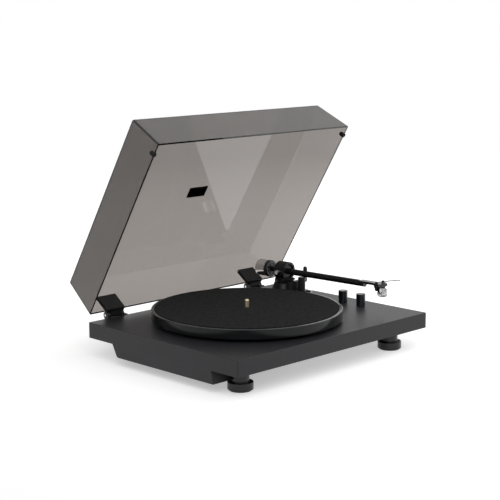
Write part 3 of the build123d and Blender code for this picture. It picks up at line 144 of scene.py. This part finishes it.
class PieceSettings(bpy.types.PropertyGroup):
    """Sizes of the pieces that are added to the frame, and of the edges that differ in finish."""

    felt_edge: length("Felt edge", "Rounding at the felt mat's rim and hole", 0.5 * MM)
    felt_nap: length("Felt nap", "Height of the uneven nap on the mat", 0.05 * MM)
    platter_edge: length("Platter edge", "Height of the bare edge at the platter's top", 0.7 * MM)
    platter_edge_fade: length("Platter edge fade", "Height over which the bare edge ends", 0.2 * MM)
    lid_cut: length("Lid cut", "Height of the dark cut at the lid's rim", 0.05 * MM)
    lid_cut_fade: length("Lid cut fade", "Height over which the dark cut ends", 0.15 * MM)
    figure_height: length("Figure height", "Height of the numbers on the dial", 3.0 * MM)
    figure_radius: length("Figure place", "Distance of the numbers from the dial's centre", 7.9 * MM)
    mark_count: IntProperty(name="Marks", description="Lines round the dial", default=40, min=4)
    mark_rim: length("Mark rim", "Distance of the lines' outer ends from the dial's centre", 13.0 * MM)
    mark_width: length("Mark width", "Width of a line on the dial", 0.4 * MM)
    mark_length: length("Mark length", "Length of a short line on the dial", 1.7 * MM)
    mark_full: amount("Full mark", "Length of a line at a number, in short lines", 1.6)
    mark_half: amount("Half mark", "Length of a line between two numbers, in short lines", 1.3)
    print_height: length("Print height", "Thickness of printed marks", 0.05 * MM)


class StageSettings(bpy.types.PropertyGroup):
    """Camera, lamps and floor."""

    camera_at: place("Camera", "Place of the camera", (-1.498109, -1.486903, 0.550615))
    camera_aim: place("Aim", "Point in the middle of the picture", (-0.042151, -0.020304, 0.177421))
    camera_roll: angle("Roll", "Turn of the camera about its own view", -0.155)
    camera_reach: length("Camera reach", "Furthest distance that the camera sees", 200.0)
    lens: amount("Lens", "Focal length in millimetres", 96.903)
    sensor: amount("Sensor", "Width of the camera's sensor in millimetres", 36.0)
    sky: amount("Sky", "Strength of the even light from all round", 0.55)
    key: amount("Key lamp", "Strength of the main lamp", 1.15)
    key_towards: direction("Key direction", "Direction of the main lamp's light", (0.55, 0.5, -0.7))
    key_spread: angle("Key spread", "Angular width of the main lamp", 50)
    fill: amount("Fill lamp", "Strength of the second lamp", 0.55)
    fill_towards: direction("Fill direction", "Direction of the second lamp's light", (-0.6, 0.6, -0.75))
    fill_spread: angle("Fill spread", "Angular width of the second lamp", 70)
    floor: colour("Floor", "Paper under the player", (0.8, 0.8, 0.8))
    floor_reach: length("Floor reach", "Half the width of the floor", 40.0)
    floor_lift: amount("Floor lift", "Light that the floor adds where it is seen, to show as white", 0.27)
    # The pool is painted light: a glow on the floor that shows only where the floor is seen, brightest in
    # its middle
    painted_pool_at: place("Pool", "Middle of the brighter pool on the floor beside the player", (1.3, 0.2, 0.0))
    painted_pool_lift: amount("Pool lift", "Light that the pool adds in its middle, where it is seen", 0.54)
    painted_pool_reach: length("Pool reach", "Distance over which the pool fades", 2.0)


class Finish:
    """A material under construction: one Principled shader, patterned on Object coordinates.

    A pattern's scale counts its lumps in a metre, and a relief's depth is in metres."""

    def __init__(self, name):
        self.material = bpy.data.materials.new(name)
        self.material.use_nodes = True
        self.tree = self.material.node_tree
        self.shader = self.tree.nodes["Principled BSDF"]
        self.output = self.tree.nodes["Material Output"]
        self.where = self.node("ShaderNodeTexCoord").outputs["Object"]

    def node(self, kind, sockets=None, **settings):
        """Adds a node, with its settings and the values of its input sockets."""
        made = self.tree.nodes.new(kind)
        for key, value in settings.items():
            setattr(made, key, value)
        for key, value in (sockets or {}).items():
            made.inputs[key].default_value = value
        return made

    def join(self, source, target):
        self.tree.links.new(source, target)

    def keep(self, **values):
        """Sets plain values on the shader's own sockets: Base_Color stands for Base Color."""
        for key, value in values.items():
            socket = self.shader.inputs[key.replace("_", " ")]
            socket.default_value = (*value, 1.0) if len(np.shape(value)) else value
        return self

    def moved(self, centre=(0, 0, 0), stretch=(1, 1, 1), turn=(0, 0, 0)):
        """Object coordinates, shifted to a centre, turned and stretched."""
        mapping = self.node(
            "ShaderNodeMapping", {"Location": centre, "Rotation": turn, "Scale": stretch},
            vector_type="TEXTURE",
        )
        self.join(self.where, mapping.inputs["Vector"])
        return mapping.outputs["Vector"]

    def noise(self, scale, detail=3.0, rough=0.5, distort=0.0, where=None):
        """A cloudy pattern."""
        made = self.node(
            "ShaderNodeTexNoise",
            {"Scale": scale, "Detail": detail, "Roughness": rough, "Distortion": distort},
        )
        self.join(where or self.where, made.inputs["Vector"])
        return made.outputs["Fac"]

    def cells(self, scale):
        """A pattern of rounded cells."""
        made = self.node("ShaderNodeTexVoronoi", {"Scale": scale})
        self.join(self.where, made.inputs["Vector"])
        return made.outputs["Distance"]

    def spread(self, value, low, high, start=0.3, stop=0.7):
        """Carries a pattern's values from start..stop over to low..high."""
        made = self.node(
            "ShaderNodeMapRange",
            {"From Min": start, "From Max": stop, "To Min": low, "To Max": high},
        )
        self.join(value, made.inputs["Value"])
        return made.outputs["Result"]

    def combine(self, first, second, how="ADD"):
        """Two patterns put together: added, multiplied or the larger of both."""
        made = self.node("ShaderNodeMath", operation=how)
        self.join(first, made.inputs[0])
        self.join(second, made.inputs[1])
        return made.outputs["Value"]

    def shades(self, value, dark, light, start=0.3, stop=0.7):
        """Colours from dark to light along a pattern."""
        ramp = self.node("ShaderNodeValToRGB")
        for element, position, shade in zip(ramp.color_ramp.elements, (start, stop), (dark, light)):
            element.position = position
            element.color = (*shade, 1.0)
        self.join(value, ramp.inputs["Fac"])
        self.join(ramp.outputs["Color"], self.shader.inputs["Base Color"])
        return self

    def gloss(self, value, low, high, start=0.3, stop=0.7):
        """Roughness from low to high along a pattern."""
        self.join(self.spread(value, low, high, start, stop), self.shader.inputs["Roughness"])
        return self

    def relief(self, value, depth, strength):
        """Bumps that follow a pattern."""
        bump = self.node("ShaderNodeBump", {"Strength": strength, "Distance": depth})
        self.join(value, bump.inputs["Height"])
        self.join(bump.outputs["Normal"], self.shader.inputs["Normal"])
        return self


def tone(base, share):
    """A colour made lighter or darker by a share."""
    return tuple(min(1.0, part * share) for part in base)


def wear(finish, *nodes):
    """Puts a finish on CAD nodes or pieces."""
    for name in nodes:
        thing = bpy.data.objects[name] if isinstance(name, str) else name
        thing.data.materials.clear()
        thing.data.materials.append(finish.material)


def mesh_points(mesh):
    """Corner points of a mesh, rows by xyz."""
    points = np.empty(len(mesh.vertices) * 3)
    mesh.vertices.foreach_get("co", points)
    return points.reshape(-1, 3)


def node_points(name):
    """Corner points of a CAD node's mesh."""
    return mesh_points(bpy.data.objects[name].data)


def add_piece(name, points, faces):
    """A new object in the scene from points and faces."""
    mesh = bpy.data.meshes.new(name)
    mesh.from_pydata(points, [], faces)
    mesh.update()
    made = bpy.data.objects.new(name, mesh)
    bpy.context.scene.collection.objects.link(made)
    return made


def surface(name, points, closed=True):
    """A smooth surface through a grid of points, rows by columns by xyz: four neighbours of the grid
    make a face, and on a closed surface the last row and column meet the first."""
    rows, columns = points.shape[:2]
    index = np.arange(rows * columns).reshape(rows, columns)
    ahead = np.roll(index, -1, axis=0)
    aside = np.roll(index, -1, axis=1)
    both = np.roll(ahead, -1, axis=1)
    faces = np.stack([index, ahead, both, aside], axis=-1)
    if not closed:
        faces = faces[:-1, :-1]
    made = add_piece(name, points.reshape(-1, 3), faces.reshape(-1, 4))
    made.data.polygons.foreach_set("use_smooth", np.ones(len(made.data.polygons), dtype=bool))
    return made


def joined(name, parts):
    """One piece from several (points, faces) pairs, each pair's faces as its own point numbers."""
    points = np.concatenate([own for own, _ in parts])
    starts = np.cumsum([0] + [len(own) for own, _ in parts[:-1]])
    faces = [(np.array(face) + start).tolist() for start, (_, own) in zip(starts, parts) for face in own]
    return add_piece(name, points, faces)


def figure_outline(text, height):
    """A flat figure of the given height as points and faces in its own plane, centred."""
    curve = bpy.data.curves.new("figure", "FONT")
    curve.body = text
    curve.size = height / FIGURE_SHARE
    curve.align_x = "CENTER"
    curve.align_y = "CENTER"
    curve.resolution_u = 3
    holder = bpy.data.objects.new("figure", curve)
    bpy.context.scene.collection.objects.link(holder)
    mesh = bpy.data.meshes.new_from_object(holder)
    points = mesh_points(mesh)[:, :2]
    faces = [tuple(face.vertices) for face in mesh.polygons]
    bpy.data.objects.remove(holder)
    bpy.data.curves.remove(curve)
    bpy.data.meshes.remove(mesh)
    return points, faces


class PLAYER_OT_plinth(bpy.types.Operator):
    """Satin lacquer on the plinth and the moulded tray under it"""

    bl_idname = "player.plinth"
    bl_label = "Plinth and tray"

    def execute(self, context):
        look = context.scene.player_finish
        board = Finish("plinth_lacquer")
        grain = board.noise(900, detail=2.0)
        cloud = board.noise(9, detail=4.0, rough=0.6)
        board.shades(cloud, tone(look.plinth, 0.92), tone(look.plinth, 1.07))
        board.gloss(grain, low=0.35, high=0.45)
        peel = board.combine(grain, board.noise(260, detail=2.0))
        board.relief(peel, depth=0.03 * MM, strength=0.35)
        board.keep(Specular_IOR_Level=0.31)
        wear(board, "plinth")
        tray = Finish("tray_lacquer")
        grain = tray.noise(700, detail=2.0)
        cloud = tray.noise(12, detail=4.0, rough=0.6)
        tray.shades(cloud, tone(look.tray, 0.9), tone(look.tray, 1.1))
        tray.gloss(grain, low=0.46, high=0.6)
        tray.relief(grain, depth=0.04 * MM, strength=0.35)
        tray.keep(Specular_IOR_Level=0.32)
        wear(tray, "undertray")
        return {"FINISHED"}


class PLAYER_OT_platter(bpy.types.Operator):
    """Black lacquer on the turned platter, with a bright edge at its rim"""

    bl_idname = "player.platter"
    bl_label = "Platter"

    def execute(self, context):
        size, look = context.scene.player_pieces, context.scene.player_finish
        lacquer = Finish("platter_lacquer")
        rings = lacquer.node(
            "ShaderNodeTexWave", {"Scale": 380, "Distortion": 0.6},
            wave_type="RINGS", rings_direction="Z",
        )
        lacquer.join(lacquer.moved(centre=tuple(SPINDLE_AT)), rings.inputs["Vector"])
        streaks = lacquer.noise(160, rough=0.6, where=lacquer.moved(stretch=(1, 1, 0.04)))
        height = lacquer.node("ShaderNodeSeparateXYZ")
        lacquer.join(lacquer.where, height.inputs["Vector"])
        edge = PLATTER_TOP - size.platter_edge
        bare = lacquer.spread(height.outputs["Z"], 0.0, 1.0, edge - size.platter_edge_fade, edge)
        lacquer.shades(bare, look.platter, look.rim, 0.0, 1.0)
        lacquer.join(bare, lacquer.shader.inputs["Metallic"])
        lacquer.gloss(streaks, low=0.09, high=0.22)
        lacquer.relief(rings.outputs["Fac"], depth=0.01 * MM, strength=0.25)
        lacquer.keep(Specular_IOR_Level=0.28)
        wear(lacquer, "platter")
        return {"FINISHED"}


class PLAYER_OT_felt_mat(bpy.types.Operator):
    """Felt mat: a flat ring of felt with rounded edges and an uneven nap"""

    bl_idname = "player.felt_mat"
    bl_label = "Felt mat"

    # Points round the mat, and along the bottom, the top and each rounded edge of its section
    turns = 320
    bottom_points = 8
    top_points = 46
    bend_points = 6
    nap_seed = 7

    def outline(self, inner, outer, low, high, edge):
        """Radius and height round the mat's section: out along the bottom, round the rim's upper edge,
        in along the top, and down round the hole's upper edge."""
        bend = np.linspace(0, math.pi / 2, self.bend_points)
        out = np.linspace(inner, outer, self.bottom_points, endpoint=False)
        back = np.linspace(outer - edge, inner + edge, self.top_points)[1:-1]
        radius = np.concatenate([
            out, [outer], outer - edge + edge * np.cos(bend), back, inner + edge - edge * np.sin(bend)
        ])
        height = np.concatenate([
            np.full(len(out), low), [low], high - edge + edge * np.sin(bend),
            np.full(len(back), high), high - edge + edge * np.cos(bend),
        ])
        return radius, height

    def shape(self, size, hole, outer):
        """The mat's section carried round the spindle, with a random dent at each point of its top."""
        radius, height = self.outline(hole, outer, FELT_LOW[2], FELT_HIGH[2], size.felt_edge)
        turn = np.linspace(0, 2 * math.pi, self.turns, endpoint=False)[:, None]
        nap = np.random.default_rng(self.nap_seed).random((self.turns, len(radius))) * size.felt_nap
        nap[:, height < FELT_HIGH[2] - size.felt_edge] = 0
        return np.stack([
            SPINDLE_AT[0] + radius * np.cos(turn),
            SPINDLE_AT[1] + radius * np.sin(turn),
            height - nap,
        ], axis=-1)

    def felt(self, look):
        """Matted fibres in two directions, with tufts and larger clumps."""
        felt = Finish("black_felt")
        tufts = felt.noise(1500, rough=0.7)
        fibres, cross = (
            felt.noise(
                420, detail=4.0, rough=0.75, distort=1.2, where=felt.moved(stretch=lie, turn=(0, 0, lean))
            )
            for lie, lean in (((1, 5, 1), 0.6), ((5, 1, 1), 0.2))
        )
        weave = felt.combine(fibres, cross, "MAXIMUM")
        clumps = felt.spread(felt.noise(150, rough=0.6), low=0.45, high=1.55, start=0.35, stop=0.65)
        fleece = felt.combine(felt.combine(weave, tufts, "MULTIPLY"), clumps, "MULTIPLY")
        felt.shades(fleece, tone(look.felt, 0.5), tone(look.felt, 1.7), start=0.12, stop=0.52)
        felt.relief(felt.combine(weave, tufts), depth=0.25 * MM, strength=0.7)
        return felt.keep(
            Roughness=0.95, Specular_IOR_Level=0.06, Sheen_Weight=0.02, Sheen_Roughness=0.5
        )

    def execute(self, context):
        hole = np.min(np.linalg.norm((node_points("felt_mat") - SPINDLE_AT)[:, :2], axis=1))
        outer = (FELT_HIGH - FELT_LOW)[0] / 2
        mat = surface("felt_mat_nap", self.shape(context.scene.player_pieces, hole, outer))
        wear(self.felt(context.scene.player_finish), mat)
        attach(mat, "platter_set")
        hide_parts("felt_mat")
        return {"FINISHED"}


class PLAYER_OT_lid(bpy.types.Operator):
    """Smoked clear plastic of the lid, with a dark cut at its rim"""

    bl_idname = "player.lid"
    bl_label = "Lid"

    def execute(self, context):
        size, look = context.scene.player_pieces, context.scene.player_finish
        smoke = Finish("smoked_plastic")
        smoke.keep(Transmission_Weight=1.0, IOR=1.49)
        deep = smoke.node("ShaderNodeVectorMath", {1: tuple(LID_UP)}, operation="DOT_PRODUCT")
        smoke.join(smoke.where, deep.inputs[0])
        cut = np.min(node_points("dust_cover") @ LID_UP) + size.lid_cut
        inside = smoke.spread(deep.outputs["Value"], 0.0, 1.0, cut, cut + size.lid_cut_fade)
        smoke.shades(inside, look.lid_edge, (1.0, 1.0, 1.0), 0.0, 1.0)
        smears = smoke.noise(18, detail=5.0, rough=0.65)
        smoke.gloss(smears, low=0.0, high=0.035, start=0.4, stop=0.75)
        path = smoke.node("ShaderNodeLightPath")
        clear = smoke.node("ShaderNodeBsdfTransparent")
        mix = smoke.node("ShaderNodeMixShader")
        smoke.join(path.outputs["Is Shadow Ray"], mix.inputs["Fac"])
        smoke.join(smoke.shader.outputs["BSDF"], mix.inputs[1])
        smoke.join(clear.outputs["BSDF"], mix.inputs[2])
        smoke.join(mix.outputs["Shader"], smoke.output.inputs["Surface"])
        depth = smoke.node(
            "ShaderNodeVolumeAbsorption",
            {"Color": (*look.lid_passes, 1.0), "Density": look.lid_density},
        )
        smoke.join(depth.outputs["Volume"], smoke.output.inputs["Volume"])
        wear(smoke, "dust_cover")
        return {"FINISHED"}


class PLAYER_OT_plastic(bpy.types.Operator):
    """Moulded black plastic, polished black pieces, rubber, the feet, the guard and the board"""

    bl_idname = "player.plastic"
    bl_label = "Plastic and rubber"

    def execute(self, context):
        look = context.scene.player_finish
        moulded = Finish("moulded_black")
        grain = moulded.noise(1100, detail=2.0)
        moulded.shades(moulded.noise(60), tone(look.plastic, 0.85), tone(look.plastic, 1.25))
        moulded.gloss(grain, low=0.34, high=0.48)
        moulded.relief(grain, depth=0.03 * MM, strength=0.4)
        moulded.keep(Specular_IOR_Level=0.3)
        wear(
            moulded, "arm_rest", "cue_housing", "force_dial", "hinge_base_left", "hinge_base_right",
            "hinge_clip_left", "hinge_clip_right", "knob_switches", "power_inlet", "rear_panel",
            "stylus", "sub_platter",
        )
        polished = Finish("polished_black")
        smear = polished.noise(120, detail=4.0, rough=0.6)
        polished.shades(smear, tone(look.gloss, 0.85), tone(look.gloss, 1.3))
        polished.gloss(smear, low=0.16, high=0.28)
        polished.keep(Coat_Weight=0.15, Coat_Roughness=0.08)
        wear(polished, "cartridge", "lid_badge", "power_knob", "speed_knob")
        rubber = Finish("black_rubber")
        pores = rubber.noise(1300)
        rubber.shades(rubber.noise(90), tone(look.rubber, 0.8), tone(look.rubber, 1.3))
        rubber.gloss(pores, low=0.6, high=0.8)
        rubber.relief(pores, depth=0.05 * MM, strength=0.5)
        rubber.keep(Specular_IOR_Level=0.18)
        wear(
            rubber, "drive_belt", "foot_pad_front_left", "foot_pad_front_right", "foot_pad_rear_left",
            "foot_pad_rear_right", "lid_bumpers", "motor_grommets",
        )
        foot = Finish("turned_foot_black")
        wipe = foot.noise(80)
        foot.shades(wipe, tone(look.foot, 0.85), tone(look.foot, 1.25))
        foot.gloss(wipe, low=0.16, high=0.28)
        foot.relief(foot.noise(900, detail=2.0), depth=0.02 * MM, strength=0.2)
        foot.keep(Specular_IOR_Level=0.4)
        wear(foot, "foot_front_left", "foot_front_right", "foot_rear_left", "foot_rear_right")
        milky = Finish("milky_guard")
        haze = milky.noise(160)
        milky.shades(haze, tone(look.guard, 0.95), look.guard)
        milky.gloss(haze, low=0.12, high=0.28)
        milky.keep(Transmission_Weight=0.72, IOR=1.45)
        wear(milky, "stylus_guard")
        board = Finish("board_green")
        board.shades(board.cells(400), tone(look.board, 0.7), tone(look.board, 1.3), 0.0, 0.6)
        board.gloss(board.noise(300), low=0.3, high=0.45)
        wear(board, "control_board")
        return {"FINISHED"}


class PLAYER_OT_metal(bpy.types.Operator):
    """Steel, chrome, brass, blackened screws and the coated metal of the tonearm"""

    bl_idname = "player.metal"
    bl_label = "Metal"

    def bright(self, name, base, low, high):
        """A bare metal with fine scratches of uneven gloss."""
        metal = Finish(name)
        scratch = metal.noise(700, detail=4.0, rough=0.7, where=metal.moved(stretch=(1, 1, 9)))
        metal.shades(metal.noise(90), tone(base, 0.9), tone(base, 1.06))
        metal.gloss(scratch, low, high)
        metal.relief(scratch, depth=0.01 * MM, strength=0.3)
        return metal.keep(Metallic=1.0)

    def execute(self, context):
        look = context.scene.player_finish
        wear(
            self.bright("bright_steel", look.steel, low=0.2, high=0.34),
            "arm_nut", "bearing_ball", "bearing_housing", "cue_lever", "gimbal_pivots", "hinge_pins",
            "hinge_screws", "motor", "motor_plate", "motor_pulley", "motor_screws",
            "undertray_screws", "yoke_shaft",
        )
        wear(
            self.bright("polished_chrome", look.chrome, low=0.02, high=0.06),
            "counterweight", "ground_terminal", "signal_sockets",
        )
        wear(self.bright("dark_steel", tone(look.steel, 0.3), low=0.2, high=0.34), "finger_lift")
        wear(self.bright("turned_brass", look.brass, low=0.28, high=0.4), "spindle")
        shell = Finish("headshell_black")
        shell.shades(shell.noise(120), tone(look.headshell, 0.85), tone(look.headshell, 1.2))
        shell.gloss(shell.noise(1400, detail=2.0), low=0.13, high=0.2)
        wear(shell, "headshell")
        coat = Finish("arm_black_coat")
        grain = coat.noise(1000, detail=2.0)
        coat.shades(coat.noise(70), tone(look.arm, 0.85), tone(look.arm, 1.25))
        coat.gloss(grain, low=0.3, high=0.42)
        coat.relief(grain, depth=0.015 * MM, strength=0.3)
        coat.keep(Specular_IOR_Level=0.25)
        wear(coat, "arm_base", "arm_block", "arm_tube", "cue_lift", "gimbal_ring")
        screw = Finish("blackened_screw")
        screw.shades(screw.noise(300), tone(look.gloss, 0.9), tone(look.gloss, 2.2))
        screw.gloss(screw.noise(500), low=0.25, high=0.4)
        screw.keep(Metallic=0.6)
        wear(screw, "cartridge_screws")
        return {"FINISHED"}


class PLAYER_OT_dial_scale(bpy.types.Operator):
    """Lines and plain numbers on the front face of the force dial"""

    bl_idname = "player.dial_scale"
    bl_label = "Dial scale"

    figures = ("0", "1", "2", "3")

    def on_face(self, across, out, turn):
        """Points on the dial's face: out runs along the radius at a turn from the top, clockwise seen
        from the front, and across runs at right angles to it."""
        right = np.cross(DIAL_AXIS, UP)
        face = np.min((node_points("force_dial") - DIAL_AT) @ DIAL_AXIS)
        radial = np.sin(turn)[..., None] * right + np.cos(turn)[..., None] * UP
        tangent = np.cos(turn)[..., None] * right - np.sin(turn)[..., None] * UP
        return DIAL_AT + face * DIAL_AXIS + out[..., None] * radial + across[..., None] * tangent

    def lines(self, size):
        """A rectangle for each line, from the rim inwards, longer at a number and half way between."""
        count = np.arange(size.mark_count)
        step = size.mark_count // len(self.figures)
        between = np.where(count % (step // 2) == 0, size.mark_half, 1.0)
        share = np.where(count % step == 0, size.mark_full, between)
        turn = np.repeat(count * 2 * math.pi / size.mark_count, 4).reshape(-1, 4)
        across = np.tile(np.array([-0.5, 0.5, 0.5, -0.5]) * size.mark_width, (len(count), 1))
        out = size.mark_rim - size.mark_length * share[:, None] * np.array([1, 1, 0, 0])
        points = self.on_face(across, out, turn).reshape(-1, 3)
        return points, np.arange(len(points)).reshape(-1, 4)

    def execute(self, context):
        size, look = context.scene.player_pieces, context.scene.player_finish
        parts = [self.lines(size)]
        for number, text in enumerate(self.figures):
            flat, faces = figure_outline(text, size.figure_height)
            turn = np.full(len(flat), number * 2 * math.pi / len(self.figures))
            parts.append((self.on_face(flat[:, 0], flat[:, 1] + size.figure_radius, turn), faces))
        scale = joined("dial_scale", parts)
        ink = scale.modifiers.new("ink", "SOLIDIFY")
        ink.thickness = size.print_height
        ink.offset = 1.0
        pale = Finish("dial_print")
        pale.shades(pale.noise(2500, detail=2.0), tone(look.print, 0.85), tone(look.print, 1.1))
        pale.gloss(pale.noise(1800), low=0.4, high=0.6)
        wear(pale, scale)
        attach(scale, "dial")
        return {"FINISHED"}


class PLAYER_OT_stage(bpy.types.Operator):
    """Camera, floor, lamps and an even sky"""

    bl_idname = "player.stage"
    bl_label = "Stage"

    def camera(self, scene, stage):
        """A camera that looks from its place to its aim, rolled about its view."""
        made = bpy.data.objects.new("camera", bpy.data.cameras.new("camera"))
        made.data.lens = stage.lens
        made.data.sensor_width = stage.sensor
        made.data.clip_end = stage.camera_reach
        view = Vector(stage.camera_aim) - Vector(stage.camera_at)
        turn = view.to_track_quat("-Z", "Y").to_matrix().to_4x4()
        made.matrix_world = (
            Matrix.Translation(stage.camera_at) @ turn @ Matrix.Rotation(stage.camera_roll, 4, "Z")
        )
        scene.collection.objects.link(made)
        scene.camera = made

    def lamp(self, name, strength, towards, spread):
        """A far lamp of a given angular width, shining along a direction."""
        light = bpy.data.lights.new(name, "SUN")
        light.energy = strength
        light.angle = spread
        made = bpy.data.objects.new(name, light)
        made.rotation_euler = Vector(towards).to_track_quat("-Z", "Y").to_euler()
        bpy.context.scene.collection.objects.link(made)

    def seen(self, tree):
        """1 for rays that show the background: straight, mirrored or through clear plastic."""
        path = tree.nodes.new("ShaderNodeLightPath")
        found = path.outputs["Is Camera Ray"]
        for kind in ("Is Glossy Ray", "Is Transmission Ray"):
            either = tree.nodes.new("ShaderNodeMath")
            either.operation = "MAXIMUM"
            tree.links.new(found, either.inputs[0])
            tree.links.new(path.outputs[kind], either.inputs[1])
            found = either.outputs["Value"]
        return found

    def floor(self, stage):
        """A flat square of pale paper, lifted to white where it is seen, with a painted pool of light
        beside the player that is brighter still where it is seen.
        """
        sides = np.array([-stage.floor_reach, stage.floor_reach])
        across, along = np.meshgrid(sides, sides, indexing="ij")
        made = surface("floor", np.stack([across, along, np.zeros((2, 2))], axis=-1), closed=False)
        paper = Finish("floor_paper")
        paper.shades(paper.noise(40, detail=2.0), tone(stage.floor, 0.995), stage.floor)
        # Painted pool of light: emission that fades from the pool's middle out over its reach, seen only
        # by camera, mirror and clear-plastic rays
        away = paper.node("ShaderNodeVectorMath", {1: stage.painted_pool_at}, operation="DISTANCE")
        paper.join(paper.where, away.inputs[0])
        painted_pool_peak = stage.floor_lift + stage.painted_pool_lift
        lift = paper.spread(away.outputs["Value"], painted_pool_peak, stage.floor_lift, 0.0, stage.painted_pool_reach)
        lift = paper.combine(self.seen(paper.tree), lift, "MULTIPLY")
        paper.join(lift, paper.shader.inputs["Emission Strength"])
        paper.keep(Roughness=1.0, Specular_IOR_Level=0.0, Emission_Color=(1.0, 1.0, 1.0))
        wear(paper, made)

    def sky(self, scene, stage):
        """Even light from all round, which shows as plain white where it is seen."""
        scene.world = bpy.data.worlds.new("studio")
        scene.world.use_nodes = True
        tree = scene.world.node_tree
        even = tree.nodes["Background"]
        white = tree.nodes.new("ShaderNodeBackground")
        for light, strength in ((even, stage.sky), (white, 1.0)):
            light.inputs["Color"].default_value = (1, 1, 1, 1)
            light.inputs["Strength"].default_value = strength
        mix = tree.nodes.new("ShaderNodeMixShader")
        tree.links.new(self.seen(tree), mix.inputs["Fac"])
        tree.links.new(even.outputs["Background"], mix.inputs[1])
        tree.links.new(white.outputs["Background"], mix.inputs[2])
        tree.links.new(mix.outputs["Shader"], tree.nodes["World Output"].inputs["Surface"])

    def execute(self, context):
        scene, stage = context.scene, context.scene.player_stage
        scene.view_settings.view_transform = "Standard"
        self.camera(scene, stage)
        self.floor(stage)
        self.lamp("key_lamp", stage.key, stage.key_towards, stage.key_spread)
        self.lamp("fill_lamp", stage.fill, stage.fill_towards, stage.fill_spread)
        self.sky(scene, stage)
        return {"FINISHED"}


class PLAYER_PT_looks(bpy.types.Panel):
    """The player's pieces and finishes"""

    bl_label = "Record player"
    bl_space_type = "VIEW_3D"
    bl_region_type = "UI"
    bl_category = "Record player"

    def draw(self, context):
        for piece in PIECES:
            self.layout.operator(piece.bl_idname)
        for key in GROUPS:
            group = getattr(context.scene, key)
            for setting in group.__annotations__:
                self.layout.prop(group, setting)


PIECES = (
    PLAYER_OT_stage,
    PLAYER_OT_plinth,
    PLAYER_OT_platter,
    PLAYER_OT_felt_mat,
    PLAYER_OT_lid,
    PLAYER_OT_plastic,
    PLAYER_OT_metal,
    PLAYER_OT_dial_scale,
)
GROUPS = {
    "player_finish": FinishSettings,
    "player_pieces": PieceSettings,
    "player_stage": StageSettings,
}


def register():
    for kind in (*GROUPS.values(), *PIECES, PLAYER_PT_looks):
        bpy.utils.register_class(kind)
    for key, group in GROUPS.items():
        setattr(bpy.types.Scene, key, PointerProperty(type=group))


def unregister():
    for key in GROUPS:
        delattr(bpy.types.Scene, key)
    for kind in reversed((*GROUPS.values(), *PIECES, PLAYER_PT_looks)):
        bpy.utils.unregister_class(kind)


def main():
    register()
    for piece in PIECES:
        family, name = piece.bl_idname.split(".")
        getattr(getattr(bpy.ops, family), name)()


if __name__ == "__main__":
    main()
